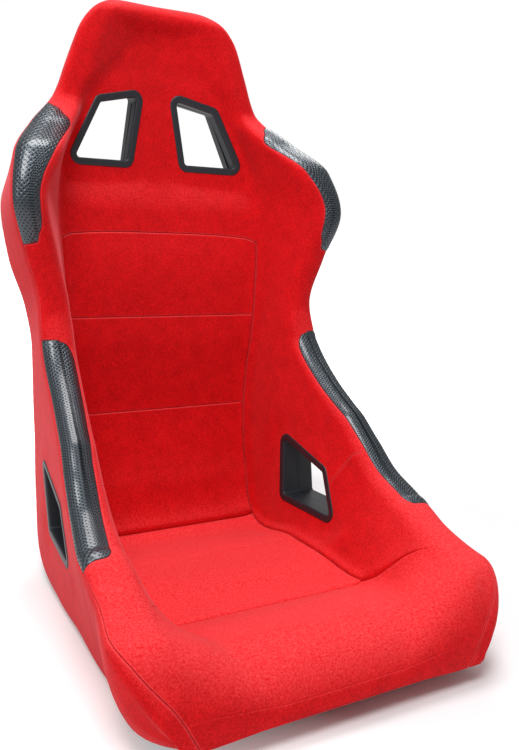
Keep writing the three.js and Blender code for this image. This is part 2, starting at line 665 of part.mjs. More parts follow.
// ---------------------------------------------------------------- the frame
const TUBE_Z = RAIL_THICK + GAP + TUBE_R;
const HEAD_JOINT = SEAM_NECK - 60; // the head hoop is welded on here, up the back
const levelReach = (share, z) => (PIVOT_Z - z) / -spine(hipAt(share)).out.z;
const HOOP = [ // from the front of a base tube up to the middle of the head: across, along, reach
  [RAIL_X, cushionAt(25), PIVOT_Z - TUBE_Z],
  [RAIL_X, cushionAt(PIVOT_Y), PIVOT_Z - TUBE_Z],
  [RAIL_X, hipAt(0.24), levelReach(0.24, TUBE_Z)],
  [RAIL_X, hipAt(0.33), levelReach(0.33, TUBE_Z + 1)],
  [RAIL_X, hipAt(0.42), 470],
  [RAIL_X + 1, hipAt(0.5), 488],
  [RAIL_X + 2, hipAt(0.62), 452],
  [RAIL_X + 3, hipAt(0.78), 408],
  [RAIL_X + 2, backAt(0), 368],
  [RAIL_X + 6, backAt(60), 355],
  [RAIL_X + 19, backAt(135), 350],
  [RAIL_X + 29, backAt(210), 354],
  [RAIL_X + 14, backAt(HEAD_JOINT), 382],
  [RAIL_X - 20, backAt(SEAM_NECK + 8), 397],
  [RAIL_X - 56, backAt(headAt(0.29)), 400],
  [RAIL_X - 88, backAt(headAt(0.54)), 398],
  [72, backAt(headAt(0.73)), 401],
  [40, backAt(headAt(0.776)), 402],
];
const pathPoints = (list) => list.map(([x, along, reach]) => at(x, along, reach));
const acrossAndBack = (half) => [...half, ...[...half].reverse().map((p) => p.clone().setX(-p.x))];
const MAIN_HOOP = new THREE.CatmullRomCurve3(acrossAndBack(pathPoints(HOOP)), false, 'centripetal');
const HOOP_LENGTH = MAIN_HOOP.getLength();

// Share of the main hoop's length at the weld between a side tube and the head hoop.
const JOINT_SHARE = (() => {
  const z = at(0, backAt(HEAD_JOINT), 0).z;
  const fall = at(0, backAt(HEAD_JOINT), 100).z - z;
  const heightAt = (share) => {
    const p = MAIN_HOOP.getPointAt(share);
    return p.z - (fall * (p.y - at(0, backAt(HEAD_JOINT), 0).y)) / Math.hypot(100, fall);
  };
  let [low, high] = [0, 0.5];
  for (let n = 0; n < 30; n += 1) {
    const middle = (low + high) / 2;
    if (heightAt(middle) < z) low = middle;
    else high = middle;
  }
  return low;
})();

class Stretch extends THREE.Curve {
  constructor(whole, from, to) {
    super();
    Object.assign(this, { whole, from, to });
  }

  getPoint(t, target = new THREE.Vector3()) {
    return target.copy(this.whole.getPointAt(THREE.MathUtils.lerp(this.from, this.to, t)));
  }
}

const HALF_JOINT = GAP / 2 / HOOP_LENGTH;
const sideTube = (radius) => rod(new Stretch(MAIN_HOOP, 0, JOINT_SHARE - HALF_JOINT), radius, { steps: 26 });
const headHoop = (radius) => rod(
  new Stretch(MAIN_HOOP, JOINT_SHARE + HALF_JOINT, 1 - JOINT_SHARE - HALF_JOINT),
  radius,
  { steps: 22 },
);

// A cross tube with its ends cut to sit against both side tubes.
function crossTube(half, radius) {
  const middle = half[0].clone().setX(0);
  const farSide = half.map((p) => p.clone().setX(-p.x)).reverse();
  const whole = rod([...farSide, middle, ...half], radius, { steps: 10 });
  const seats = [sideTube(TUBE_R + GAP)];
  return cut(whole, bothSides(seats));
}

const CROSS_R = 8;
const CROSS_TUBES = {
  front_cross_tube: { along: cushionAt(52), half: [[110, 384], [152, 387], [RAIL_X, PIVOT_Z - TUBE_Z]] },
  rear_cross_tube: { along: hipAt(0.78), half: [[120, 468], [160, 450], [186, 427], [RAIL_X + 3, 408]] },
  lumbar_cross_tube: { along: backAt(66), half: [[120, 424], [160, 405], [187, 388], [RAIL_X + 7, 355]] },
  shoulder_cross_tube: {
    along: backAt(SEAM_NECK - 72), half: [[120, 428], [160, 420], [195, 402], [RAIL_X + 19, 374]],
  },
};
const THIGH_HOOP = [
  [RAIL_X, cushionAt(44), PIVOT_Z - TUBE_Z],
  [200, cushionAt(50), 372],
  [214, cushionAt(64), 330],
  [234, cushionAt(100), 287],
  [238, cushionAt(CREASE_Y), 268],
  [236, hipAt(0.17), 247],
  [231, hipAt(0.34), 229],
  [226, hipAt(0.5), 223],
  [221, hipAt(0.62), 233],
  [216, hipAt(0.78), 257],
  [207, backAt(0), 303],
  [RAIL_X + 6, backAt(46), 356],
];
const SHOULDER_HOOP = [
  [RAIL_X + 12, backAt(100), 352],
  [224, backAt(140), 314],
  [240, backAt(176), 286],
  [250, backAt(208), 277],
  [238, backAt(SEAM_NECK - 78), 293],
  [216, backAt(SEAM_NECK - 50), 332],
  [RAIL_X, backAt(SEAM_NECK - 30), 388],
];

function buildFrame() {
  const fatTube = sideTube(TUBE_R + GAP);
  const fatHoop = headHoop(TUBE_R + GAP);
  addPair('side_tube', sideTube(TUBE_R), COATED_STEEL);
  add('head_hoop', headHoop(TUBE_R), COATED_STEEL);
  for (const [name, { along, half }] of Object.entries(CROSS_TUBES)) {
    const points = half.map(([x, reach]) => at(x, along, reach));
    add(name, crossTube(points, CROSS_R), COATED_STEEL);
  }
  const thigh = rod(pathPoints(THIGH_HOOP), HOOP_R, { sides: 6, steps: 20 });
  addPair('thigh_hoop', cut(thigh, [fatTube]), COATED_STEEL);
  const shoulder = rod(pathPoints(SHOULDER_HOOP), HOOP_R, { sides: 6, steps: 14 });
  addPair('shoulder_hoop', cut(shoulder, [fatTube, fatHoop]), COATED_STEEL);
}

// ---------------------------------------------------------------- mounting rails
const RAIL_MIDDLE = RAIL_X - 12; // the rails reach inwards, past the tubes that they carry
const BOLT_X = RAIL_MIDDLE - 12;
const NUT_R = 7.5; // across corners of an M8 weld nut, halved
const NUT_HEIGHT = 6.5;
const RAIL_ROUND = 8;

function railPlan(margin) {
  const halfWidth = RAIL_WIDTH / 2 + margin;
  const shape = new THREE.Shape();
  const round = RAIL_ROUND + margin;
  const [x0, x1] = [RAIL_MIDDLE - halfWidth, RAIL_MIDDLE + halfWidth];
  const [y0, y1] = [RAIL_FRONT - margin, RAIL_REAR + margin];
  shape.moveTo(x0 + round, y0);
  shape.lineTo(x1 - round, y0);
  shape.quadraticCurveTo(x1, y0, x1, y0 + round);
  shape.lineTo(x1, y1 - round);
  shape.quadraticCurveTo(x1, y1, x1 - round, y1);
  shape.lineTo(x0 + round, y1);
  shape.quadraticCurveTo(x0, y1, x0, y1 - round);
  shape.lineTo(x0, y0 + round);
  shape.quadraticCurveTo(x0, y0, x0 + round, y0);
  return shape;
}

function railSpace() {
  const space = new THREE.ExtrudeGeometry(railPlan(1), { depth: 60, bevelEnabled: false, curveSegments: 2 });
  return space.translate(0, 0, -10);
}

function buildRails() {
  const options = { depth: RAIL_THICK, bevelEnabled: false, curveSegments: 3 };
  let rail = new THREE.ExtrudeGeometry(railPlan(0), options);
  const holes = [];
  for (const y of [BOLT_FRONT, BOLT_REAR]) {
    const nut = new THREE.CylinderGeometry(NUT_R, NUT_R, NUT_HEIGHT + 1, 6).rotateX(Math.PI / 2);
    nut.translate(BOLT_X, y, RAIL_THICK + NUT_HEIGHT / 2 - 0.5);
    rail = joined(rail, nut);
    const hole = new THREE.CylinderGeometry(BOLT_R, BOLT_R, 60, 16).rotateX(Math.PI / 2);
    holes.push(hole.translate(BOLT_X, y, 0));
  }
  addPair('mounting_rail', cut(rail, holes), COATED_STEEL);
}

// ---------------------------------------------------------------- sinuous springs
const CUSHION_SPRINGS = [168, 210, 252]; // distances from the front
const BACK_SPRINGS = [42, 118, 190]; // heights up the back
const SPRING_WAVES = 11; // half waves
const SPRING_SWING = 14; // to each side of the spring's line
const SPRING_ENDS = 18; // straight wire at each end
const SPRING_ARCH = 3;
const SPRING_REST = 3; // space behind the back foam
const HOOK = 5; // power that keeps the wire flat up to the tubes

function springPath(ends, placeAt) {
  const reach = ends - SPRING_ENDS;
  const points = [placeAt(-ends, 0)];
  for (let n = 0; n <= SPRING_WAVES * 2; n += 1) {
    const x = THREE.MathUtils.lerp(-reach, reach, n / (SPRING_WAVES * 2));
    points.push(placeAt(x, Math.sin((n * Math.PI) / 2) * SPRING_SWING));
  }
  points.push(placeAt(ends, 0));
  return points;
}

function springWire(points, seats) {
  const wire = rod(points, SPRING_WIRE, { sides: 4, steps: SPRING_WAVES * 3 });
  return cut(wire, bothSides(seats));
}

function buildSprings() {
  const seats = [sideTube(TUBE_R + GAP)];
  const onTube = TUBE_Z + TUBE_R + SPRING_WIRE + GAP;
  CUSHION_SPRINGS.forEach((y, n) => {
    const path = springPath(RAIL_X, (x, swing) => {
      const drop = Math.abs(x) >= RAIL_X ? onTube - TUBE_Z : 0;
      return new THREE.Vector3(x, y + swing, onTube + SPRING_ARCH * (1 - (x / RAIL_X) ** 2) - drop);
    });
    add(`cushion_spring_${n + 1}`, springWire(path, seats), SPRING_STEEL);
  });
  BACK_SPRINGS.forEach((up, n) => {
    const tube = tubeAt(backAt(up));
    const behind = faceReach(0, backAt(up), false) + COVER + GAP + CENTRE_FOAM + SPRING_WIRE + SPRING_REST;
    const path = springPath(tube.x, (x, swing) => {
      const bow = (behind - tube.reach) * (1 - Math.abs(x / tube.x) ** HOOK);
      return at(x, backAt(up + swing), tube.reach + bow);
    });
    add(`back_spring_${n + 1}`, springWire(path, seats), SPRING_STEEL);
  });
}

// Where the side tube's axis is, at a place along the seat.
function tubeAt(along) {
  const n = HOOP.findIndex((place) => place[1] > along);
  const [a, b] = [HOOP[n - 1], HOOP[n]];
  const t = (along - a[1]) / (b[1] - a[1]);
  return { x: THREE.MathUtils.lerp(a[0], b[0], t), reach: THREE.MathUtils.lerp(a[2], b[2], t) };
}

buildCover();
buildFoam();
buildBezels();
buildFrame();
buildRails();
buildSprings();

// The origin lies on the floor, under the middle of the seat.
const extent = new THREE.Box3().setFromObject(seat);
seat.position.y = -(extent.min.y + extent.max.y) / 2;

export default seat;
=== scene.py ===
# %% [markdown]
# # A fixed-back racing seat
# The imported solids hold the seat's structure: tubes, springs, foam, cover panels and belt-slot
# bezels. This lesson sews a fine cover round them. A real seat of this kind is a shell of foam
# with a velour cover pulled tight over it, so almost every shape comes from one smooth form,
# and the seams, folds and patches are lines drawn on that form.

# %% The frame
import json
import math

import bpy
import numpy as np
from mathutils import Matrix, Vector
from mathutils.geometry import delaunay_2d_cdt


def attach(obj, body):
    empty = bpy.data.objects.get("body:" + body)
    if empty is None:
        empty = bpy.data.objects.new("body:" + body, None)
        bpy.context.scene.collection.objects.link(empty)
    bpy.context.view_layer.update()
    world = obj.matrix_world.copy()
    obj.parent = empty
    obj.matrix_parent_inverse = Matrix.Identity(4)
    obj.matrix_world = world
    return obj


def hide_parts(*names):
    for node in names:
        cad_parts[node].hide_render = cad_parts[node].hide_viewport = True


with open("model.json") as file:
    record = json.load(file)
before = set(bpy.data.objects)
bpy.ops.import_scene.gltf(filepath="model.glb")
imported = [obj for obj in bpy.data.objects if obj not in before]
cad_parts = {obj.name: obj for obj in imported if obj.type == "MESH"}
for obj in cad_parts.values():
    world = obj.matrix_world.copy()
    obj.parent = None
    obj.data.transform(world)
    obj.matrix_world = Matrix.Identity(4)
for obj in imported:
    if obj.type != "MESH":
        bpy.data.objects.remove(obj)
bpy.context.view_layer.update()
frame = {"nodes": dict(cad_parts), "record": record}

MM = 0.001

# %% [markdown]
# ## Camera, light and floor
# The photograph looks down a little on the seat's right-hand corner. Its camera was worked out
# from points that lie at the same place on the seat's two sides. One small bright lamp would
# be the simplest light, but it hides the nap of the cloth and cuts a hard shadow. So there are
# two large lamps above, one of them in front, two weak ones behind and to the side, and an
# even white surround.

# %% Colours, nodes and the camera
SHIFT_Y = -297.98  # mm from the form's own zero to the middle of the seat
LENS, SENSOR = 39.36, 36  # mm
CAMERA_TURN = ((0.8641, 0.0567, -0.5002), (-0.4996, 0.2187, -0.8382), (0.0619, 0.9741, 0.2173))
CAMERA_PLACE = (-0.5539, (-725.3 + SHIFT_Y) * MM, 0.6147)


def colour(code):
    """Linear RGBA from an sRGB hex value."""
    parts = [int(code[n:n + 2], 16) / 255 for n in (1, 3, 5)]
    line = [p / 12.92 if p <= 0.04045 else ((p + 0.055) / 1.055) ** 2.4 for p in parts]
    return (*line, 1.0)


def add(tree, kind, *values, settings=None, at=None, **named):
    """Adds a node: its settings, then its inputs in order, by number or by name, values or sockets."""
    made = tree.nodes.new(kind)
    for key, value in (settings or {}).items():
        setattr(made, key, value)
    for key, value in [*enumerate(values), *(at or {}).items(), *named.items()]:
        socket = made.inputs[key.replace("_", " ") if isinstance(key, str) else key]
        if isinstance(value, bpy.types.NodeSocket):
            tree.links.new(value, socket)
        else:
            socket.default_value = value
    return made


scene = bpy.context.scene
lens = bpy.data.cameras.new("camera")
lens.lens = LENS
lens.sensor_width = SENSOR
camera = bpy.data.objects.new("camera", lens)
camera.matrix_world = Matrix.Translation(CAMERA_PLACE) @ Matrix(CAMERA_TURN).to_4x4()
scene.collection.objects.link(camera)
scene.camera = camera
scene.view_settings.view_transform = "Standard"
print("camera at", [round(v, 3) for v in camera.location])

# %% Lamps and surround
MIDDLE = Vector((0, 0, 0.4))  # the lamps point here, m
LAMPS = {  # place and diameter in m, watts
    "key": ((-0.9, -1.1, 2.85), 1.2, 49),
    "top": ((0.2, 0.4, 3.1), 1.2, 38),
    "rear": ((1.3, 1.7, 2.1), 1.4, 14),
    "side": ((-2.4, -0.4, 1.3), 1.4, 12),
}
SURROUND = 0.34  # strength of the white surround as light; the camera sees it at full white

for name, (place, size, watts) in LAMPS.items():
    light = bpy.data.lights.new(name, "AREA")
    light.shape = "DISK"
    light.size = size
    light.energy = watts
    made = bpy.data.objects.new(name, light)
    aim = (MIDDLE - Vector(place)).to_track_quat("-Z", "Y")
    made.matrix_world = Matrix.Translation(place) @ aim.to_matrix().to_4x4()
    scene.collection.objects.link(made)

world = bpy.data.worlds.new("white surround")
world.use_nodes = True
scene.world = world
tree = world.node_tree
tree.nodes.clear()
path = add(tree, "ShaderNodeLightPath")
seen = add(tree, "ShaderNodeMath", path.outputs["Is Camera Ray"], path.outputs["Is Transmission Ray"],
           settings={"operation": "MAXIMUM"})
level = add(tree, "ShaderNodeMapRange", seen.outputs[0], 0.0, 1.0, SURROUND, 1.0)
white = add(tree, "ShaderNodeBackground", Strength=level.outputs[0], Color=colour("#FFFFFF"))
add(tree, "ShaderNodeOutputWorld", white.outputs[0])
print("lamps:", list(LAMPS))

# %% [markdown]
# The floor is matt white paper. Lit by the lamps alone it would look grey, and its far edge
# would show. So to the camera it also glows: not at all under the seat, and fully white further
# out. The shadow stays where it is, and the paper throws no extra light on the seat.

# %% Floor
FLOOR = 9.0  # half the width of the paper, m
SHADOW_MIDDLE = (0.30, -0.02, 0.0)
GLOW_START, GLOW_FULL = 0.42, 0.95  # m from the middle of the shadow
NEAR_GLOW = 0.006  # green and blue only, against the red that the cloth throws on the paper

floor_mesh = bpy.data.meshes.new("floor")
floor_mesh.from_pydata([(-FLOOR, -FLOOR, 0), (FLOOR, -FLOOR, 0), (FLOOR, FLOOR, 0), (-FLOOR, FLOOR, 0)],
                       [], [(0, 1, 2, 3)])
floor = bpy.data.objects.new("floor", floor_mesh)
scene.collection.objects.link(floor)
paper = bpy.data.materials.new("matt white paper")
paper.use_nodes = True
tree = paper.node_tree
tree.nodes.clear()
path = add(tree, "ShaderNodeLightPath")
where = add(tree, "ShaderNodeTexCoord")
away = add(tree, "ShaderNodeVectorMath", where.outputs["Object"], SHADOW_MIDDLE,
           settings={"operation": "DISTANCE"}).outputs["Value"]
red = add(tree, "ShaderNodeMapRange", away, GLOW_START, GLOW_FULL, 0.0, 1.0).outputs[0]
others = add(tree, "ShaderNodeMapRange", away, GLOW_START, GLOW_FULL, NEAR_GLOW, 1.0).outputs[0]
glow_colour = add(tree, "ShaderNodeCombineColor", red, others, others)
glow = add(tree, "ShaderNodeEmission", Color=glow_colour.outputs[0], Strength=1.0)
none = add(tree, "ShaderNodeEmission", Color=colour("#000000"), Strength=0.0)
lift = add(tree, "ShaderNodeMixShader", path.outputs["Is Camera Ray"], none.outputs[0], glow.outputs[0])
sheet = add(tree, "ShaderNodeBsdfDiffuse", Color=colour("#EFEFF0"))
both = add(tree, "ShaderNodeAddShader", sheet.outputs[0], lift.outputs[0])
add(tree, "ShaderNodeOutputMaterial", both.outputs[0])
floor_mesh.materials.append(paper)
print("floor:", 2 * FLOOR, "m wide")

# %% [markdown]
# ## The form under the cover
# The real seat is one block of moulded foam on a steel frame. It could be sculpted, but then
# its seams would have nothing exact to lie on. Here it is a family of cross-sections. Each lies
# in a plane that holds the X direction, and the planes follow a spine: level under the thighs,
# a fan round the hips, then up the reclined back. One section is a ring of straight lines with
# rounded corners, from the middle of the sitter's side, over the bolster's rim, to the middle
# of the rear. Two numbers then name any place on the cover: how far along the spine, and which
# column round the ring.

# %% Cross-sections
PIVOT_Y, PIVOT_Z = 150.0, 420.0
RECLINE = math.radians(9)
FRONT_Y, BACK_TOP = -50.0, 543.0


def cushion(y):
    """Place along the spine, y mm from the form's zero, ahead of the hips."""
    return (y - PIVOT_Y) / 1000


def back(up):
    """Place along the spine, in mm up the back from the hips."""
    return 1 + up / 1000


# seat, rim, edge_reach and back_reach are distances from the spine; panel, wall, outer and edge
# are distances from the middle; hollow is the depth of the centre panel's curve. All are in mm.
KEYS = ("seat", "hollow", "panel", "wall", "rim", "outer", "edge", "edge_reach", "back_reach")
SECTIONS = [
    (cushion(-50), (326, 0, 120, 222, 278, 276, 244, 396, 398)),
    (cushion(20), (326, 0, 130, 224, 276, 282, 241, 398, 400)),
    (cushion(90), (338, 0, 158, 214, 256, 272, 232, 408, 404)),
    (cushion(142), (355, 0, 163, 213, 235, 271, 226, 417, 408)),
    (0.17, (370, 0, 164, 209, 214, 262, 224, 429, 420)),
    (0.34, (410, 0, 164, 205, 196, 256, 222, 470, 460)),
    (0.50, (488, 0, 163, 201, 190, 250, 219, 512, 532)),
    (0.62, (458, 0, 163, 198, 198, 246, 217, 474, 520)),
    (0.78, (420, 3, 164, 193, 218, 241, 216, 426, 486)),
    (back(0), (376, 6, 168, 188, 262, 237, 216, 400, 452)),
    (back(60), (368, 9, 171, 192, 276, 234, 224, 402, 442)),
    (back(135), (364, 12, 174, 212, 262, 254, 246, 404, 438)),
    (back(210), (368, 14, 176, 230, 240, 275, 256, 396, 440)),
    (back(275), (380, 14, 168, 200, 256, 267, 232, 408, 446)),
    (back(330), (379, 10, 146, 164, 312, 228, 198, 420, 448)),
    (back(385), (374, 7, 108, 134, 354, 178, 162, 418, 440)),
    (back(440), (377, 6, 74, 116, 350, 156, 143, 410, 430)),
    (back(476), (379, 4, 46, 108, 347, 142, 130, 403, 423)),
    (back(498), (375, 3, 38, 101, 346, 133, 121, 398, 418)),
    (back(518), (358, 3, 44, 94, 346, 124, 112, 396, 415)),
    (back(543), (352, 3, 66, 87, 349, 112, 100, 392, 410)),
]
SPOTS = np.array([spot for spot, _ in SECTIONS])
TABLE = np.array([values for _, values in SECTIONS], float)
print("sections:", len(SECTIONS))

# %% A smooth curve through the sections


def even_slopes():
    """Slopes that carry a smooth curve through the sections without overshoot."""
    rise = np.diff(TABLE, axis=0) / np.diff(SPOTS)[:, None]
    slope = np.zeros_like(TABLE)
    before, after = rise[:-1], rise[1:]
    same = before * after > 0
    slope[1:-1][same] = (2 * before * after)[same] / (before + after)[same]
    return slope


SLOPES = even_slopes()


def section_at(along):
    """The section's distances at places along the spine."""
    i = np.clip(np.searchsorted(SPOTS, along), 1, len(SPOTS) - 1)
    span = (SPOTS[i] - SPOTS[i - 1])[:, None]
    t = np.clip((along - SPOTS[i - 1])[:, None] / span, 0, 1)
    a, b = TABLE[i - 1], TABLE[i]
    ma, mb = SLOPES[i - 1] * span, SLOPES[i] * span
    values = (a * (2 * t**3 - 3 * t**2 + 1) + ma * (t**3 - 2 * t**2 + t)
              + b * (3 * t**2 - 2 * t**3) + mb * (t**3 - t**2))
    return dict(zip(KEYS, values.T.copy()))


print("seat height at the hips:", round(PIVOT_Z - section_at(np.array([0.0]))["seat"][0]), "mm")

# %% [markdown]
# The front roll and the head are closed, rounded ends. They could be caps of their own, but
# the cloth runs over them without a seam. So near each end the inner and the outer face of the
# ring swing together on a quarter round until they meet.

# %% Rounded ends
LIP_LENGTH, LIP_SEAM_Z = 72.0, 34.0  # the front's length and the height of its lower seam, mm
LIP_NARROW, LIP_FOOT = 50.0, 1.4  # its sides draw in this far, and the underside's by this share more
FOOT_DROP = 5.0  # the two front corners reach this much lower than the seam between them
CROWN_LENGTH, CROWN_SEAM_REACH = 34.0, 385.0  # the head's length, and its seam from the spine
CROWN_NARROW, CROWN_NARROWING = 50.0, 62.0  # its sides draw in this far, over this length
SEAM_THICK = 0.8
HOLLOW_PLACE = 0.55  # share of the centre panel's width where its curve is half as deep
REAR_FLAT = 0.6  # share of the rear's width that is flat


def round_in(length, depth):
    """0 inside the form, rising on a quarter round to 1 at its end."""
    return 1 - np.sqrt(np.maximum(0, 1 - (1 - np.clip(depth / length, 0, 1)) ** 2))


def close_to(s, reach, share):
    """Swings both faces of section s towards one reach."""
    for key in ("seat", "rim"):
        s[key] += (reach - SEAM_THICK / 2 - s[key]) * share
    for key in ("edge_reach", "back_reach"):
        s[key] += (reach + SEAM_THICK / 2 - s[key]) * share
    s["hollow"] *= 1 - share


def ring_corners(along):
    """The eight corners of each section: distance from the middle, and reach from the spine."""
    s = section_at(along)
    from_front = (along - cushion(FRONT_Y)) * 1000
    from_top = (back(BACK_TOP) - along) * 1000
    share = round_in(LIP_LENGTH, from_front)
    close_to(s, PIVOT_Z - LIP_SEAM_Z, share)
    s["rim"] += FOOT_DROP * share
    for key in ("outer", "wall", "panel"):
        s[key] -= LIP_NARROW * share
    s["edge"] -= LIP_NARROW * LIP_FOOT * share
    close_to(s, CROWN_SEAM_REACH, round_in(CROWN_LENGTH, from_top))
    for key in ("panel", "wall", "outer", "edge"):
        s[key] -= CROWN_NARROW * round_in(CROWN_NARROWING, from_top)
    zero = np.zeros_like(along)
    corners = [
        (zero, s["seat"] + s["hollow"]), (s["panel"] * HOLLOW_PLACE, s["seat"] + s["hollow"] * HOLLOW_PLACE),
        (s["panel"], s["seat"]), (s["wall"], s["rim"]), (s["outer"], s["rim"]),
        (s["edge"], s["edge_reach"]), (s["edge"] * REAR_FLAT, s["back_reach"]), (zero, s["back_reach"]),
    ]
    return np.stack([np.stack(c, -1) for c in corners], 1)


print("half width at the front:", ring_corners(np.array([cushion(FRONT_Y)]))[0, 4, 0], "mm")

# %% Any point of the form
FILLETS = {2: 34.0, 3: 27.0, 4: 27.0, 5: 18.0}  # corner of the ring: radius, mm
SOFTER_FRONT = {2: 2.0, 3: 1.2, 4: 0.3, 5: 0.8}  # the corners grow by these shares at the front
SOFTER_HEAD = {2: 2.0, 3: 0.6, 4: 0.0, 5: 0.0}  # and by these at the head
SOFT_FRONT_LENGTH = 0.17  # along the spine from the front until nothing of the growth is left
SOFT_HEAD_START, SOFT_HEAD_LENGTH = back(400), 0.06
LEAST_CUT, MOST_CUT = 0.15, 0.46  # a corner takes between these shares of the shorter line beside it
REAR_MID = 15.0  # column of the middle of the rear; the front's middle is column 0
# Columns 2 to 4, 5 to 7, 8 to 10 and 11 to 13 are the ring's rounded corners. The rest is straight.


def fold(column):
    """Column on the left half, and the side it is on."""
    side = np.where(column < 0, -1.0, 1.0)
    column = np.abs(column)
    over = column > REAR_MID
    return np.where(over, 2 * REAR_MID - column, column), np.where(over, -side, side)


def form(along, column):
    """Points in mm for arrays of places along the spine and columns round the ring."""
    along = np.clip(np.asarray(along, float).ravel(), cushion(FRONT_Y), back(BACK_TOP))
    column, side = fold(np.asarray(column, float).ravel())
    corner = ring_corners(along)
    start, end = {}, {}
    soft_front = np.clip(1 - (along - cushion(FRONT_Y)) / SOFT_FRONT_LENGTH, 0, 1)
    soft_head = np.clip((along - SOFT_HEAD_START) / SOFT_HEAD_LENGTH, 0, 1)
    for n, radius in FILLETS.items():
        radius = radius * (1 + SOFTER_FRONT[n] * soft_front + SOFTER_HEAD[n] * soft_head)
        before, after = corner[:, n - 1] - corner[:, n], corner[:, n + 1] - corner[:, n]
        long_b, long_a = np.linalg.norm(before, axis=1), np.linalg.norm(after, axis=1)
        half = np.arccos(np.clip((before * after).sum(1) / (long_b * long_a), -1, 1)) / 2
        room = np.minimum(long_b, long_a)
        cut = np.clip(radius / np.tan(half), room * LEAST_CUT, room * MOST_CUT)
        start[n] = corner[:, n] + before * (cut / long_b)[:, None]
        end[n] = corner[:, n] + after * (cut / long_a)[:, None]
    flats = [(0, corner[:, 0], corner[:, 1]), (1, corner[:, 1], start[2]), (4, end[2], start[3]),
             (7, end[3], start[4]), (10, end[4], start[5]), (13, end[5], corner[:, 6]),
             (14, corner[:, 6], corner[:, 7])]
    ring = np.zeros((len(along), 2))
    for low, a, b in flats:
        on = (column >= low) & (column <= low + 1)
        ring[on] = (a + (b - a) * (column - low)[:, None])[on]
    for low, n in ((2, 2), (5, 3), (8, 4), (11, 5)):
        on = (column > low) & (column < low + 2)
        t = ((column - low) / 2)[:, None]
        ring[on] = ((1 - t) ** 2 * start[n] + 2 * t * (1 - t) * corner[:, n] + t**2 * end[n])[on]
    turn = (math.pi / 2 - RECLINE) * np.clip(along, 0, 1)
    ahead, above = np.minimum(along, 0) * 1000, np.maximum(along - 1, 0) * 1000
    y = PIVOT_Y + ahead + above * math.sin(RECLINE) + np.sin(turn) * ring[:, 1]
    z = PIVOT_Z + above * math.cos(RECLINE) - np.cos(turn) * ring[:, 1]
    return np.stack([ring[:, 0] * side, y + SHIFT_Y, z], -1)


print("middle of the head's front face:", form([back(440)], [0])[0].round(1), "mm")

# %% [markdown]
# ## Cutting patterns
# A real cover is cut flat and sewn. The seams could be cut into the finished form with a knife
# tool, but then they would move with every change of the form. So each panel is drawn flat
# here too: the two numbers of the form are stretched to millimetres, so that one step on the
# pattern is about one step on the seat. A panel is then any closed outline on that pattern,
# with holes where a bezel goes through.

# %% From the form to the flat pattern and back
HIP_LENGTH = 480.0  # pattern length of the fan round the hips, mm
LIP_PATTERN, CROWN_PATTERN = 118.0, 62.0  # pattern lengths of the two rounded ends
NORMAL_STEP = 0.6  # mm to each side, to find which way the surface faces
quarter = np.linspace(0, math.pi / 2, 25)
lip_along = cushion(FRONT_Y) + LIP_LENGTH * (1 - np.cos(quarter)) / 1000
crown_along = back(BACK_TOP) - CROWN_LENGTH * (1 - np.cos(quarter[::-1])) / 1000
lip_flat = lip_along[-1] * 1000 - LIP_PATTERN * (1 - quarter / quarter[-1])
crown_start = HIP_LENGTH + (crown_along[0] - 1) * 1000
crown_flat = crown_start + CROWN_PATTERN * (1 - quarter[::-1] / quarter[-1])
ALONG_KNOTS = np.concatenate([lip_along, [0.0, 1.0], crown_along])
FLAT_KNOTS = np.concatenate([lip_flat, [0.0, HIP_LENGTH], crown_flat])
COLUMN_KNOTS = np.array([0, 2, 4, 5, 7, 8, 10, 11, 13, 14, 15], float)
WIDTH_KNOTS = np.array([0, 160, 205, 285, 325, 348, 388, 500, 526, 606, 736], float)


def flat(along, column):
    """Pattern coordinates in mm: along the spine, and across from the middle of the front."""
    column = np.asarray(column, float)
    size = np.abs(column)
    past = 2 * WIDTH_KNOTS[-1] - np.interp(2 * REAR_MID - size, COLUMN_KNOTS, WIDTH_KNOTS)
    over = np.where(size > REAR_MID, past, np.interp(size, COLUMN_KNOTS, WIDTH_KNOTS))
    level = np.interp(along, ALONG_KNOTS, FLAT_KNOTS) + 0 * over
    return np.stack([level, np.where(column < 0, -over, over) + 0 * level], -1)


def unflat(pattern):
    """Place along the spine and column of pattern coordinates."""
    size = np.abs(pattern[:, 1])
    past = 2 * REAR_MID - np.interp(2 * WIDTH_KNOTS[-1] - size, WIDTH_KNOTS, COLUMN_KNOTS)
    column = np.where(size > WIDTH_KNOTS[-1], past, np.interp(size, WIDTH_KNOTS, COLUMN_KNOTS))
    return np.interp(pattern[:, 0], FLAT_KNOTS, ALONG_KNOTS), np.where(pattern[:, 1] < 0, -column, column)


def surface(pattern):
    """Points and outward normals for pattern coordinates."""
    up, over = [form(*unflat(pattern + step)) - form(*unflat(pattern - step))
                for step in (np.array([NORMAL_STEP, 0]), np.array([0, NORMAL_STEP]))]
    normal = np.cross(over, up)
    return form(*unflat(pattern)), normal / np.maximum(np.linalg.norm(normal, axis=1), 1e-9)[:, None]


FRONT, TOP = cushion(FRONT_Y), back(BACK_TOP)
print("pattern runs from", flat(FRONT, 0)[0], "to", flat(TOP, 0)[0], "mm")

# %% Lines on the pattern
STEP = 4.0  # mm between the points of a line


def even(points, step=STEP):
    """The same open line with even steps."""
    points = np.asarray(points, float)
    length = np.concatenate([[0], np.cumsum(np.linalg.norm(np.diff(points, axis=0), axis=1))])
    count = max(int(round(length[-1] / step)), 1) + 1
    spots = np.linspace(0, length[-1], count)
    return np.stack([np.interp(spots, length, points[:, k]) for k in (0, 1)], -1)


def ringed(loop):
    """A closed line, its first point said again at the end."""
    return np.concatenate([loop, loop[:1]])


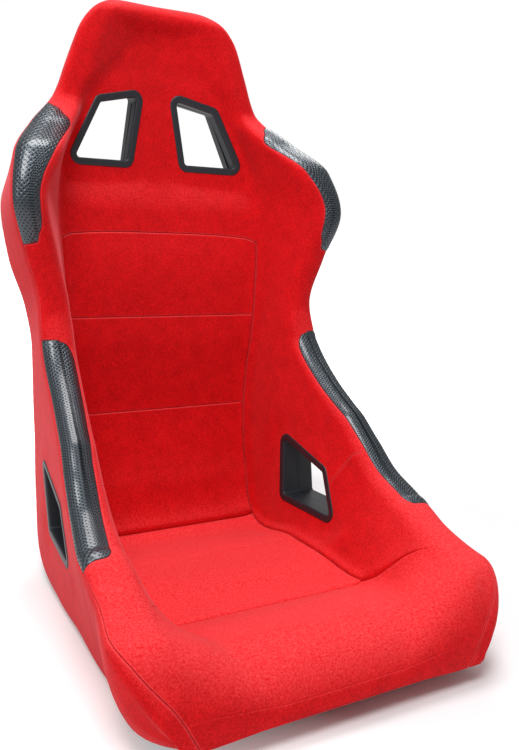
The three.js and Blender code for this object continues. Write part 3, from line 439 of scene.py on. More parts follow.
def smooth(points):
    """A rounded line through pattern points (Catmull-Rom), with even steps."""
    p = np.asarray(points, float)
    p = np.concatenate([[2 * p[0] - p[1]], p, [2 * p[-1] - p[-2]]])
    t = np.linspace(0, 1, 13)[:-1, None]
    parts = []
    for a, b, c, d in zip(p[:-3], p[1:-2], p[2:-1], p[3:]):
        parts.append(0.5 * (2 * b + (c - a) * t + (2 * a - 5 * b + 4 * c - d) * t**2
                            + (3 * b - a - 3 * c + d) * t**3))
    return even(np.concatenate([*parts, p[-2:-1]]))


def places(*pairs):
    """Pattern points from (place along the spine, column) pairs."""
    return np.array([flat(along, column) for along, column in pairs])


print("a line over the front of the seat has", len(even(places((FRONT, -5), (FRONT, 5)))), "points")

# %% [markdown]
# ## The seams
# On the real cover two panels are sewn face to face and turned over, so that the seam is a
# narrow valley. Each panel could have an outline of its own, but the two would never quite
# agree. So every seam is one line on the pattern, used by the panels on both sides of it, and
# they always meet. The lines follow the photograph: the ribbed back, the cushion with its fold
# behind the front roll, the wear patches on the bolsters' rims, and the seam that runs from
# each thigh patch over the front corner.

# %% Seam lines of the left side
PANEL = 3.0  # column of the corner between a centre panel and a side wall
RIM_SEAM = 9.4  # column of the seam along the outside of the rim
SIDE_SEAM = 12.5  # column of the seam between the side and the rear
HIP = 0.5  # the seam between cushion and back, half-way round the hips
FOLD_Y = 143.0  # the fold behind the front roll
CHEST, CHEST_ARCH = 180.0, 13.0  # top of the ribbed back, and how far its seam arches up, mm
THIGH_LOW, THIGH_TOP = cushion(128), back(12)
SHOULDER_LOW, SHOULDER_TOP = back(147), back(367)

fold_line = smooth(places((cushion(FOLD_Y), PANEL), (cushion(106), 4.1), (cushion(88), 4.5),
                          (cushion(68), 4.95), (cushion(46), 5.8), (cushion(30), 6.8)))
thigh_inner = smooth(places((THIGH_LOW, RIM_SEAM), (cushion(130), 8.4), (cushion(131.5), 7.35),
                            (cushion(137), 6.95), (cushion(146), 6.82), (0.10, 6.62), (0.22, 6.45),
                            (0.42, 6.32), (0.60, 6.15), (0.78, 6.02), (0.93, 6.0), (0.975, 6.12),
                            (back(5), 6.55), (back(10), 7.3), (THIGH_TOP, 8.4), (THIGH_TOP, RIM_SEAM)))
shoulder_inner = smooth(places((SHOULDER_LOW, RIM_SEAM), (back(149), 8.2), (back(157), 7.25),
                               (back(172), 6.62), (back(195), 6.4), (back(222), 6.4), (back(250), 6.55),
                               (back(278), 6.5), (back(303), 6.25), (back(322), 5.95), (back(331), 6.0),
                               (back(342), 6.7), (back(355), 7.9), (SHOULDER_TOP, RIM_SEAM)))
rim_low = even(places((THIGH_LOW, RIM_SEAM), (THIGH_TOP, RIM_SEAM)))
rim_waist = even(places((THIGH_TOP, RIM_SEAM), (SHOULDER_LOW, RIM_SEAM)))
rim_shoulder = even(places((SHOULDER_LOW, RIM_SEAM), (SHOULDER_TOP, RIM_SEAM)))
rim_head = even(places((SHOULDER_TOP, RIM_SEAM), (TOP, RIM_SEAM)))
FOOT = 7.6  # column where the corner seam meets the front edge
corner_seam = smooth(places((THIGH_LOW, RIM_SEAM), (cushion(104), 9.24), (cushion(54), 8.86),
                            (cushion(9), 8.84), (cushion(-16), 8.64), (cushion(-27), 8.48),
                            (cushion(-36), 8.2), (cushion(-43), 7.92), (cushion(-48), 7.74), (FRONT, FOOT)))
print("fold", len(fold_line), "thigh patch", len(thigh_inner), "shoulder patch", len(shoulder_inner))

# %% [markdown]
# ## Belt slots
# Four moulded bezels line the slots on each side: two for the harness, two for the lap belt, on
# both faces of the seat. They could be bent to follow the cloth, but real ones are rigid and
# flat. So each gets a plane of its own, with the same corners as in the solids, and the cloth
# is drawn towards that plane all round it.

# %% The faces that carry the bezels
HARNESS = [(42, 284), (162, 281), (107, 391), (20, 413)]  # across, up the back
HARNESS_REAR = [(36, 274), (174, 273), (120, 402), (14, 424)]
LAP = [(241, 108), (394, 103), (424, 222), (290, 191)]  # y, z
FRONT_FACE = np.linspace(0, 6, 121)  # columns of each face
REAR_FACE = np.linspace(REAR_MID, 12, 121)
INNER_WALL = np.linspace(3.2, 6.5, 121)
OUTER_WALL = np.linspace(9.2, 12.0, 121)


def face_line(along, columns):
    """Distance from the middle and reach along one face of a section."""
    points = form(np.full(len(columns), along), columns)
    turn = (math.pi / 2 - RECLINE) * min(max(along, 0), 1)
    above = max(along - 1, 0) * 1000
    y = points[:, 1] - SHIFT_Y - PIVOT_Y - min(along, 0) * 1000 - above * math.sin(RECLINE)
    z = points[:, 2] - PIVOT_Z - above * math.cos(RECLINE)
    return points, points[:, 0], y * math.sin(turn) - z * math.cos(turn)


def on_back(across, up, face):
    """Point and pattern place of a spot on the back, by its distance from the middle."""
    points, xs, _ = face_line(back(up), face)
    column = np.interp(across, xs, face)
    return form([back(up)], [column])[0], flat(back(up), column)


def on_wall(y, z, face):
    """Point and pattern place of a spot on a side wall, by its y and height."""
    along = math.atan2(y - PIVOT_Y, PIVOT_Z - z) / (math.pi / 2 - RECLINE)
    reach = math.hypot(y - PIVOT_Y, z - PIVOT_Z)
    _, _, reaches = face_line(along, face)
    order = np.argsort(reaches)
    column = np.interp(reach, reaches[order], face[order])
    return form([along], [column])[0], flat(along, column)


print("first corner of a harness slot:", on_back(*HARNESS[0], FRONT_FACE)[0].round(1), "mm")

# %% The flat frame of a bezel
BEZEL_CORNER = 17.0  # radius of a bezel's outer corners, mm
HOLE_STEP = 3.0


class Slot:
    """The flat frame of one bezel: four corners on a face of the form."""

    def __init__(self, corners, face, place, toward):
        self.face, self.place = face, place
        points = np.array([place(a, b, face)[0] for a, b in corners])
        self.origin = points.mean(0)
        over = points[1] - points[0] + points[2] - points[3]
        up = points[3] - points[0] + points[2] - points[1]
        z = np.cross(over, up)
        z /= np.linalg.norm(z)
        self.z = z if z @ np.array(toward) > 0 else -z
        # the cloth slides to the plane along the line that its pattern place was found by
        slide = [1, 0, 0] if place is on_wall else [0, math.cos(RECLINE), -math.sin(RECLINE)]
        self.slide = np.array(slide) / (slide @ self.z)
        self.x = over / np.linalg.norm(over)
        self.y = np.cross(self.z, self.x)
        self.corners = np.stack([(points - self.origin) @ self.x, (points - self.origin) @ self.y], -1)
        if np.cross(self.corners, np.roll(self.corners, -1, 0)).sum() < 0:
            self.corners = self.corners[::-1]

    def outline(self, inset, steps=8):
        """The four-sided outline moved inwards, with true arcs at its corners."""
        corner = self.corners
        along = np.roll(corner, -1, 0) - corner
        along /= np.linalg.norm(along, axis=1)[:, None]
        start = corner + np.stack([-along[:, 1], along[:, 0]], -1) * inset
        loop = []
        for n in range(4):
            before, here = along[n - 1], along[n]
            offset = start[n] - start[n - 1]
            t = (offset[0] * here[1] - offset[1] * here[0]) / (before[0] * here[1] - before[1] * here[0])
            tip = start[n - 1] + before * t
            half = math.acos(max(-1.0, min(1.0, float(-before @ here)))) / 2
            cut = (BEZEL_CORNER - inset) / math.tan(half)
            a, b = tip - before * cut, tip + here * cut
            for k in np.linspace(0, 1, steps):
                share = np.array([(1 - k) ** 2, 2 * k * (1 - k) * math.sin(half), k**2])
                loop.append(share @ [a, tip, b] / share.sum())
        return np.array(loop)

    def world(self, loop, height):
        """Points of a loop on the frame, at a height over its plane."""
        return self.origin + loop[:, :1] * self.x + loop[:, 1:] * self.y + self.z * height

    def height(self, points):
        """How far points stand over the frame's plane."""
        return (points - self.origin) @ self.z

    def hole(self, inset):
        """The cover's hole on the pattern."""
        loop = []
        # even steps first: a straight edge of the bezel is a curve on the pattern
        for x, y, z in self.world(even(ringed(self.outline(inset)), HOLE_STEP), 0):
            y -= SHIFT_Y
            if self.place is on_back:
                up = (y - PIVOT_Y) * math.sin(RECLINE) + (z - PIVOT_Z) * math.cos(RECLINE)
                loop.append(on_back(abs(x), up, self.face)[1])
            else:
                loop.append(on_wall(y, z, self.face)[1])
        return even(ringed(np.array(loop)), HOLE_STEP)[:-1]


print("a bezel's corners have a radius of", BEZEL_CORNER, "mm")

# %% The four slots of the left side
slots = {
    "harness_front": Slot(HARNESS, FRONT_FACE, on_back, (0, -1, 0)),
    "harness_rear": Slot(HARNESS_REAR, REAR_FACE, on_back, (0, 1, 0)),
    "lap_inner": Slot(LAP, INNER_WALL, on_wall, (-1, 0, 0)),
    "lap_outer": Slot(LAP, OUTER_WALL, on_wall, (1, 0, 0)),
}
print({name: s.origin.round(0).tolist() for name, s in slots.items()})

# %% [markdown]
# ## Sewing a panel
# A real panel is a flat sheet of cloth with thin foam behind it. Blender's cloth simulation
# could pull such sheets tight, but this cover is so tight that its shape is known beforehand.
# So a panel starts as a flat sheet of triangles inside its outline. Each point is lifted onto
# the form and pushed out a little by the foam, most in the middle of the panel. Towards a seam
# the cloth rolls down on a small quarter round, because a seam pulls the edge into the foam.
# The deeper the fold, the larger that round. A second layer behind it closes the panel.

# %% Distances on the pattern
BATCH = 1500  # points measured at a time, to save memory
SAME_POINT = 0.05  # mm


def nearest_on(points, lines):
    """Distance from each point to the nearest polyline, in mm, and the place along the polylines."""
    a = np.concatenate([line[:-1] for line in lines])
    ab = np.concatenate([line[1:] - line[:-1] for line in lines])
    square = np.maximum((ab**2).sum(1), 1e-9)
    best, spot = np.empty(len(points)), np.empty(len(points))
    for n in range(0, len(points), BATCH):
        ap = points[n:n + BATCH, None] - a
        t = np.clip((ap * ab).sum(2) / square, 0, 1)
        gap = ((ap - ab * t[..., None]) ** 2).sum(2)
        found = gap.argmin(1)
        row = np.arange(len(found))
        best[n:n + BATCH] = np.sqrt(gap[row, found])
        spot[n:n + BATCH] = found + t[row, found]
    return best, spot


def inside(points, loops):
    """True for points inside an odd number of the closed loops."""
    odd = np.zeros(len(points), bool)
    for loop in loops:
        a, b = loop, np.roll(loop, -1, 0)
        for (x0, y0), (x1, y1) in zip(a, b):
            cross = (y0 > points[:, 1]) != (y1 > points[:, 1])
            if cross.any():
                x = x0 + (points[:, 1] - y0) * (x1 - x0) / (y1 - y0 if y1 != y0 else 1e-9)
                odd ^= cross & (points[:, 0] < x)
    return odd


def closed(*lines):
    """One loop from lines laid end to end; a point that two lines share is kept once."""
    return np.concatenate([line[:-1] if np.allclose(line[-1], after[0], atol=SAME_POINT) else line
                           for line, after in zip(lines, [*lines[1:], lines[0]])])


def staggered(low, high, spacing, row_gap):
    """Points in rows between two corners, every other row half a step along."""
    rows = np.arange(low[0], high[0], row_gap)
    starts = low[1] + np.arange(len(rows)) % 2 * spacing / 2
    columns = [np.arange(start, high[1], spacing) for start in starts]
    return np.concatenate([np.stack([0 * spots + row, spots], -1) for row, spots in zip(rows, columns)])


def beside(line, distance, is_loop):
    """A line's points moved sideways by a distance on the pattern, to both sides."""
    ahead = np.roll(line, -1, 0) - np.roll(line, 1, 0)
    if not is_loop:
        ahead[0], ahead[-1] = line[1] - line[0], line[-1] - line[-2]
    ahead /= np.maximum(np.linalg.norm(ahead, axis=1), 1e-9)[:, None]
    side = np.stack([-ahead[:, 1], ahead[:, 0]], -1)
    return np.concatenate([line + side * distance, line - side * distance])


trial = np.array([(0, 0), (100, 0), (100, 100), (0, 100)], float)
print("is (50, 50) in a 100 mm square?", inside(np.array([(50.0, 50.0)]), [trial])[0])

# %% A flat sheet of triangles
RINGS = (0.7, 1.7, 3.2, 5.2)  # extra rows of points beside a seam, mm
RING_CLEAR = 0.9  # a row's point stays if it is at least this share of its distance from any line
ROW_SHARE = 0.87  # distance of the grid's rows, as a share of the spacing in a row
GRID_CLEAR = 0.45  # the grid starts this share of the spacing beyond the last ring


def triangles(loops, channels, spacing):
    """Pattern points and triangles of a sheet inside the loops."""
    edges, fixed = [], []
    for loop in loops:
        first = len(fixed)
        fixed.extend(loop)
        edges += [(first + n, first + (n + 1) % len(loop)) for n in range(len(loop))]
    for line in channels:
        first = len(fixed)
        fixed.extend(line)
        edges += [(first + n, first + n + 1) for n in range(len(line) - 1)]
    fixed = np.array(fixed)
    all_lines = [ringed(loop) for loop in loops] + list(channels)
    lines = [(loop, True) for loop in loops] + [(line, False) for line in channels]
    extra = np.concatenate([beside(line, distance, is_loop) for distance in RINGS for line, is_loop in lines])
    wanted = np.repeat(RINGS, len(extra) // len(RINGS))
    extra = extra[inside(extra, loops) & (nearest_on(extra, all_lines)[0] > wanted * RING_CLEAR)]
    grid = staggered(fixed.min(0), fixed.max(0), spacing, spacing * ROW_SHARE)
    grid = grid[inside(grid, loops)]
    grid = grid[nearest_on(grid, all_lines)[0] > RINGS[-1] + spacing * GRID_CLEAR]
    points = [Vector(p) for p in np.concatenate([fixed, extra, grid])]
    verts, _, faces, *_ = delaunay_2d_cdt(points, edges, [], 0, 1e-3)
    verts = np.array([tuple(v) for v in verts])
    faces = np.array([f for f in faces if len(f) == 3])
    faces = faces[inside(verts[faces].mean(1), loops)]
    used, again = np.unique(faces, return_inverse=True)
    return verts[used], again.reshape(-1, 3)


print("a 100 mm square becomes", len(triangles([trial], [], 10.0)[1]), "triangles")

# %% A closed panel on the form
PROUD = 1.0  # the cover stands this far out of the solids, mm
UNDER = 4.0  # thickness of a panel, mm
EDGE_THICK, THICKENING = 1.2, 0.5  # thickness at a seam, and how fast it grows away from it
FRAME_REACH, FRAME_FLAT = 44.0, 7.0  # the cloth leaves a bezel's plane between these distances, mm
SWELL_PLACE, SWELL_WIDTH = 95.0, 75.0  # the extra height's middle and reach from the front edge, mm
# rolls between these radii get the velour's painted highlight beside them and painted shade in them
FAINT, SEAM = 0.6, 2.4  # rolls above the first radius and up to the second are tinted as seams, mm
PANEL_SHARP = math.radians(60)
pieces = {}


def make_mesh(name, points, faces, sharp):
    """A smooth mesh object from points in mm; edges steeper than sharp stay sharp."""
    mesh = bpy.data.meshes.new(name)
    mesh.from_pydata((np.asarray(points) * MM).tolist(), [], [tuple(map(int, f)) for f in faces])
    mesh.validate()
    for polygon in mesh.polygons:
        polygon.use_smooth = True
    mesh.set_sharp_from_angle(angle=sharp)
    made = bpy.data.objects.new(name, mesh)
    scene.collection.objects.link(made)
    pieces[name] = made
    return made


class Panel:
    """One sewn panel. seams and channels are (line, radius of the roll); frames are bezels."""

    def __init__(self, seams, holes=(), channels=(), spacing=5.5, crown=1.5, width=30.0, frames=(),
                 proud=PROUD, lowest=None, swell=0.0):
        self.loops = [closed(*[line for line, _ in seams]), *[hole for hole, _ in holes]]
        self.channels = [line for line, _ in channels]
        rolls = [*seams, *[(ringed(hole), radius) for hole, radius in holes], *channels]
        self.rolls = [(surface(line)[0], np.broadcast_to(radius, len(line))) for line, radius in rolls]
        self.frames = [(slot, side, surface(ringed(hole))[0]) for slot, side, hole in frames]
        self.spacing, self.proud, self.lowest = spacing, proud, lowest
        self.crown, self.width = crown, width  # extra height of the middle, and how far in it rises, mm
        self.swell = swell  # extra height beside the front corners, mm

    def lift(self, pattern):
        """Points on the finished panel, their normals, and distances to an edge and to a sewn line."""
        point, normal = surface(pattern)
        dip = np.zeros(len(point))
        nearest, sewn = np.full(len(point), 1e3), np.full(len(point), 1e3)
        for line, radii in self.rolls:
            away, spot = nearest_on(point, [line])
            radius = np.interp(spot, np.arange(len(radii)), radii)
            inward = 1 - np.minimum(away / np.maximum(radius, 0.01), 1)
            dip = np.maximum(dip, radius * (1 - np.sqrt(np.maximum(0, 1 - inward**2))))
            nearest = np.minimum(nearest, away)
            if FAINT < radii.max() <= SEAM:
                sewn = np.minimum(sewn, away)
        front = np.exp(-((pattern[:, 0] - flat(FRONT, 0)[0] - SWELL_PLACE) / SWELL_WIDTH) ** 2)
        rise = self.proud + (self.crown + self.swell * front) * (1 - np.exp(-(nearest / self.width) ** 2))
        top = point + normal * (rise - dip)[:, None]
        for slot, side, edge in self.frames:
            away, _ = nearest_on(point, [edge])
            pull = np.clip((FRAME_REACH - away) / (FRAME_REACH - FRAME_FLAT), 0, 1)
            pull = pull**2 * (3 - 2 * pull)
            top -= slot.slide * [side, 1, 1] * (slot.height(point * [side, 1, 1]) * pull)[:, None]
        if self.lowest:
            self.lowest(top)
        return top, normal, nearest, sewn

    def mesh(self, name, side=1):
        """Makes the panel, or with side -1 its mirror image on the right."""
        pattern, faces = triangles(self.loops, self.channels, self.spacing)
        top, normal, nearest, sewn = self.lift(pattern)
        under = top - normal * np.minimum(UNDER, EDGE_THICK + nearest * THICKENING)[:, None]
        corner = top[faces]
        area = np.cross(corner[:, 1] - corner[:, 0], corner[:, 2] - corner[:, 0])
        if (area * normal[faces[:, 0]]).sum() < 0:
            faces = faces[:, ::-1]
        size = len(top)
        edges = {(int(f[k]), int(f[k - 2])) for f in faces for k in range(3)}
        rim = [(a, a + size, b + size, b) for a, b in edges if (b, a) not in edges]
        all_faces = [*faces.tolist(), *(faces[:, ::-1] + size).tolist(), *rim]
        if side < 0:
            all_faces = [f[::-1] for f in all_faces]
        points = np.concatenate([top, under]) * [side, 1, 1]
        mesh = make_mesh(name, points, all_faces, PANEL_SHARP).data
        # distance to a sewn line, which the velour turns into a painted highlight and painted shade
        seam = mesh.attributes.new("seam", "FLOAT", "POINT")
        seam.data.foreach_set("value", np.tile(sewn, 2).astype(np.float32))
        place = mesh.attributes.new("pattern", "FLOAT_VECTOR", "POINT")
        drawn = np.tile(np.c_[pattern - self.loops[0].min(0), np.zeros(size)], (2, 1))
        place.data.foreach_set("vector", drawn.astype(np.float32).ravel())
        print(name, "points", 2 * size, "faces", len(all_faces))


print("a panel is", UNDER, "mm thick and stands", PROUD, "mm out of the solids")

# %% [markdown]
# ## The cover's panels
# The upper cover is the largest piece: it runs from the seam over the ribbed back, round both
# sides and over the head. It could be drawn whole, but the seat is the same on both sides. So
# only the left half of each outline is drawn, and the other half is its mirror.

# %% Lines for the outlines


def across(place, low, high, bow=0.0):
    """A seam across the seat at one place; bow raises its middle, in mm."""
    columns = np.linspace(low, high, 41)
    level = flat(place, 0)[0] + bow * (1 - (columns / max(abs(low), abs(high))) ** 2)
    return even(np.stack([level, flat(place, columns)[:, 1]], -1))


def up_line(low, high, column):
    """A seam along the spine at one column."""
    spots = np.linspace(flat(low, 0)[0], flat(high, 0)[0], 60)
    return even(np.stack([spots, np.full(60, float(flat(low, column)[1]))], -1))


def other_side(line):
    """The same line on the right-hand side, run the other way."""
    return (line * [1, -1])[::-1]


chest_line = across(back(CHEST - CHEST_ARCH), -PANEL, PANEL, CHEST_ARCH)
hip_line = across(HIP, -PANEL, PANEL)
fold_middle = across(cushion(FOLD_Y), -PANEL, PANEL)
side_of_back = up_line(HIP, back(CHEST - CHEST_ARCH), PANEL)
side_of_cushion = up_line(cushion(FOLD_Y), HIP, PANEL)
top_front = across(TOP, -RIM_SEAM, RIM_SEAM)
rear_seam = up_line(HIP, TOP, SIDE_SEAM)
LINING_FRONT = cushion(-14)  # the red cloth turns under as far as here
turned_seam = up_line(FRONT, LINING_FRONT, SIDE_SEAM)
base_seam = up_line(LINING_FRONT, HIP, SIDE_SEAM)
HOLE_INSET = 4.0  # the cloth ends this far under a bezel's outer edge, mm

# fold from the rim down to where the patch ends, so that the roll and the side meet at the rim
fold_to_patch = smooth(np.array([fold_line[-1], *places((cushion(40), 7.6), (cushion(80), 8.6)),
                                 thigh_inner[0]]))
harness_hole, harness_rear_hole, lap_hole, lap_outer_hole = [
    slots[name].hole(HOLE_INSET) for name in ("harness_front", "harness_rear", "lap_inner", "lap_outer")]
print("points round the holes:", len(harness_hole), len(lap_hole))

# %% Centre panels and the front roll
TIGHT, SOFT, DEEP = 1.0, 5.5, 9.0  # radius at which the cloth rolls into a seam, mm
JOIN = 0.0  # two panels that meet here without a seam to be seen
RIBS = (back(42), 0.80)  # the two seams across the ribbed back
CUSHION_RIB, CUSHION_RIB_ROLL = 0.333, 1.6  # the seam across the cushion: place and radius
RIB_REACH = PANEL - 0.12  # these seams end just short of the panel's edge
LOW_SEAM, LOW_SEAM_ROLL = cushion(-46.4), 0.4  # the fine seam under the front roll
LOW_SEAM_END = 7.4  # its last column
FOLD_FADE, FOLD_EASE = 1.25, 1.2  # the fold gets shallower along its line, and ends before it does
fold_radius = DEEP * np.maximum(0, 1 - np.linspace(0, FOLD_FADE, len(fold_line))) ** FOLD_EASE


def mirrored(seams):
    """The other half of an outline, with its seams in the order that the loop needs."""
    return [(other_side(line), np.flip(np.broadcast_to(radius, len(line))))
            for line, radius in reversed(seams)]


cushion_panel = Panel(
    [(fold_middle, DEEP), (side_of_cushion, SOFT), (hip_line[::-1], DEEP),
     (other_side(side_of_cushion), SOFT)],
    channels=[(across(CUSHION_RIB, -RIB_REACH, RIB_REACH), CUSHION_RIB_ROLL)], crown=4, width=60)
back_panel = Panel(
    [(hip_line, DEEP), (side_of_back, SOFT), (chest_line[::-1], SEAM), (other_side(side_of_back), SOFT)],
    channels=[(across(rib, -RIB_REACH, RIB_REACH), SEAM) for rib in RIBS], crown=3, width=40)
roll_edge = [(corner_seam[::-1], TIGHT), (fold_to_patch[::-1], JOIN), (fold_line[::-1], fold_radius[::-1])]
roll_panel = Panel(
    [(across(FRONT, -FOOT, FOOT), JOIN), *roll_edge, (fold_middle[::-1], DEEP), *mirrored(roll_edge)],
    channels=[(across(LOW_SEAM, -LOW_SEAM_END, LOW_SEAM_END), LOW_SEAM_ROLL)], crown=2, width=60)
cushion_panel.mesh("cushion")
back_panel.mesh("ribbed_back")
roll_panel.mesh("front_roll")

# %% The upper cover, with holes for the belt slots
WALL_SEAM_ROLL = 0.7
BOTH = ([1, 1], [1, -1])  # a pattern line as it is, and on the right-hand side
left_edge = [(side_of_back[::-1], SOFT), (side_of_cushion[::-1], SOFT), (fold_line, fold_radius),
             (fold_to_patch, JOIN), (thigh_inner, TIGHT), (rim_waist, TIGHT),
             (shoulder_inner, TIGHT), (rim_head, TIGHT)]
wall_seam = smooth(places((0.295, 6.0), (0.308, 5.5), (0.320, 5.05), (0.327, 4.7), (0.332, 4.3)))
upper_panel = Panel(
    channels=[(wall_seam, WALL_SEAM_ROLL), (other_side(wall_seam), WALL_SEAM_ROLL)],
    seams=[(chest_line, SEAM), *left_edge, (top_front[::-1], TIGHT), *mirrored(left_edge)],
    holes=[(hole * turned, TIGHT) for hole in (harness_hole, lap_hole) for turned in BOTH],
    frames=[(slots[name], side, hole * [1, side]) for side in (1, -1)
            for name, hole in (("harness_front", harness_hole), ("lap_inner", lap_hole))],
    crown=2, width=40)
upper_panel.mesh("upper_cover")

# %% Patches and outer sides
SIDES = ((1, "left"), (-1, "right"))
thigh_patch, shoulder_patch = [
    Panel([(inner, TIGHT), (rim[::-1], TIGHT)], spacing=4.2, crown=2.0, width=7, proud=1.3)
    for inner, rim in ((thigh_inner, rim_low), (shoulder_inner, rim_shoulder))]
front_end = even(places((FRONT, FOOT), (FRONT, 10), (FRONT, SIDE_SEAM)))
top_end = even(places((TOP, SIDE_SEAM), (TOP, RIM_SEAM)))
rims = [(rim[::-1], TIGHT) for rim in (rim_head, rim_shoulder, rim_waist, rim_low)]
side_panel = Panel(
    [(corner_seam, TIGHT), (front_end, JOIN), (turned_seam, JOIN), (base_seam, TIGHT),
     (rear_seam, TIGHT), (top_end, TIGHT), *rims],
    holes=[(lap_outer_hole, TIGHT)], frames=[(slots["lap_outer"], 1, lap_outer_hole)],
    spacing=7, crown=1, swell=7)
for side, word in SIDES:
    thigh_patch.mesh(f"thigh_patch_{word}", side)
    shoulder_patch.mesh(f"shoulder_patch_{word}", side)
    side_panel.mesh(f"outer_side_{word}", side)

# %% [markdown]
# The photograph doesn't show the rear or the underside, so they are made as such seats are
# made: one red panel down the back, the front's cloth turned under, and a black lining.

# %% Rear panel
FAR_SEAM = 2 * REAR_MID - SIDE_SEAM  # the column of the side seam on the right, past the rear's middle


def up_far(line):
    """A seam of the rear's left edge, moved to its right edge."""
    return np.stack([line[:, 0], np.full(len(line), float(flat(0, FAR_SEAM)[1]))], -1)


rear_low = even(places((HIP, SIDE_SEAM), (HIP, FAR_SEAM)))
rear_top = even(places((TOP, FAR_SEAM), (TOP, SIDE_SEAM)))
rear_holes = [(1, harness_rear_hole), (-1, harness_rear_hole * [1, -1] + [0, 2 * WIDTH_KNOTS[-1]])]
rear_panel = Panel(
    [(rear_low, TIGHT), (up_far(rear_seam), TIGHT), (rear_top, TIGHT), (rear_seam[::-1], TIGHT)],
    holes=[(hole, TIGHT) for _, hole in rear_holes],
    frames=[(slots["harness_rear"], side, hole) for side, hole in rear_holes], spacing=7, crown=1)
rear_panel.mesh("rear_panel")

# %% Underside
RAIL_X, RAIL_Y, RAIL_BELOW = (146, 214), (8, 410), 60  # where the lining may meet a rail, mm
RAIL_CLEAR = 8.0  # height that the lining keeps there


def over_the_rails(points):
    """The lining rises over both rails and the tubes' feet."""
    x, y, z = np.abs(points[:, 0]), points[:, 1] - SHIFT_Y, points[:, 2]
    near = (x > RAIL_X[0]) & (x < RAIL_X[1]) & (y > RAIL_Y[0]) & (y < RAIL_Y[1]) & (z < RAIL_BELOW)
    points[near, 2] = np.maximum(z[near], RAIL_CLEAR)


turned_end = even(places((LINING_FRONT, SIDE_SEAM), (LINING_FRONT, FAR_SEAM)))
turned_start = even(places((FRONT, SIDE_SEAM), (FRONT, FAR_SEAM)))
turned_panel = Panel(
    [(turned_start, JOIN), (up_far(turned_seam), JOIN), (turned_end[::-1], TIGHT), (turned_seam[::-1], JOIN)],
    spacing=7, crown=1)
turned_panel.mesh("front_turned_under")
base_panel = Panel(
    [(turned_end, TIGHT), (up_far(base_seam), TIGHT), (rear_low[::-1], TIGHT), (base_seam[::-1], TIGHT)],
    spacing=7, crown=0.5, proud=0.5, lowest=over_the_rails)
base_panel.mesh("base_lining_cover")

# %% [markdown]
# ## The bezels
# A bezel is moulded in one piece: a flat flange with a soft outer edge, a rounded inner lip and
# a thin sleeve that lines half of the slot. A curve with a bevel profile could draw the flange,
# but its sleeve has to meet the other bezel's half-way, and the two outlines differ. So the
# profile's points are carried round the outline one by one, and the sleeve's ends are moved.

# %% Bezel rings
SLOT_SPLIT = 0.01  # share of its length by which a sleeve stays clear of the other one
BEZEL_SHARP = math.radians(50)
SLEEVE_STEP = 1.0  # mm between the points at which two sleeves are matched
SLOT_PAIRS = (("harness_front", "harness_rear"), ("lap_inner", "lap_outer"))
BEZELS = {"harness_front": "harness_bezel_front", "harness_rear": "harness_bezel_rear",
          "lap_inner": "lap_bezel_inner", "lap_outer": "lap_bezel_outer"}
PROFILE = [(0.3, -2.0), (0.0, -0.6), (0.0, 0.6), (0.3, 1.3), (0.9, 1.85), (1.8, 2.2), (3.0, 2.3),
           (9.0, 2.0), (10.4, 1.7), (11.3, 1.0), (11.8, 0.0), (12.0, -1.4), (12.0, -2.0),
           (9.6, -2.0), (9.6, -2.0)]  # inset and height, mm
SLEEVE_ENDS = (len(PROFILE) - 3, len(PROFILE) - 2)  # the points that lie half-way to the other bezel


def sleeve_end(pair, slot, inset):
    """Where both sleeves of a slot meet, half-way between its two bezels, for one bezel's outline."""
    near, far = [s.world(even(ringed(s.outline(inset)), SLEEVE_STEP), 0) for s in pair]
    offset = (near - pair[0].origin)[:, None] - (far - pair[1].origin)
    far = far[np.linalg.norm(offset, axis=2).argmin(1)]
    mine = slot.world(slot.outline(inset), 0)
    source = near if slot is pair[0] else far
    nearest = np.linalg.norm(mine[:, None] - source, axis=2).argmin(1)
    middle = (near + far)[nearest] / 2
    return middle + (mine - middle) * SLOT_SPLIT


def bezel(pair, slot, name):
    """Both bezels of one slot's face, left and right."""
    rings = [slot.world(slot.outline(inset), height) for inset, height in PROFILE]
    for n in SLEEVE_ENDS:
        rings[n] = sleeve_end(pair, slot, PROFILE[n][0])
    size, count = len(rings[0]), len(rings)
    faces = [(n * size + k, n * size + (k + 1) % size,
              (n + 1) % count * size + (k + 1) % size, (n + 1) % count * size + k)
             for n in range(count) for k in range(size)]
    for side, word in SIDES:
        turned = faces if side > 0 else [f[::-1] for f in faces]
        make_mesh(f"{name}_{word}_moulding", np.concatenate(rings) * [side, 1, 1], turned, BEZEL_SHARP)


for pair in SLOT_PAIRS:
    for key in pair:
        bezel([slots[name] for name in pair], slots[key], BEZELS[key])
print("bezels:", [n for n in pieces if n.endswith("moulding")])

# %% [markdown]
# ## Materials
# Every finish is worked out from the object's own coordinates in metres. A photograph of cloth
# could be wrapped round the seat instead, but it would bring its own light and shadow with it,
# and would have to be laid out flat first. Noise in the material has neither fault.

# %% Helpers for the finishes
COLOUR_A, COLOUR_B, MIXED = 6, 7, 2  # a Mix node's sockets when it mixes colours
MIX = {"data_type": "RGBA"}


def finish(name, base, roughness, **inputs):
    """A new principled material; returns the material, its tree and the shader node."""
    made = bpy.data.materials.new(name)
    made.use_nodes = True
    made.diffuse_color = colour(base)
    tree = made.node_tree
    tree.nodes.clear()
    shader = add(tree, "ShaderNodeBsdfPrincipled", Base_Color=colour(base), Roughness=roughness, **inputs)
    add(tree, "ShaderNodeOutputMaterial", shader.outputs[0])
    return made, tree, shader


def mottle(tree, size, detail=2.0, roughness=0.5, shift=0.0):
    """Noise in clumps about this many mm wide, from about 0 to 1."""
    where = add(tree, "ShaderNodeTexCoord")
    place = add(tree, "ShaderNodeMapping", where.outputs["Object"], (shift, shift, shift))
    return add(tree, "ShaderNodeTexNoise", place.outputs[0], Scale=1 / (size * MM), Detail=detail,
               Roughness=roughness).outputs[0]


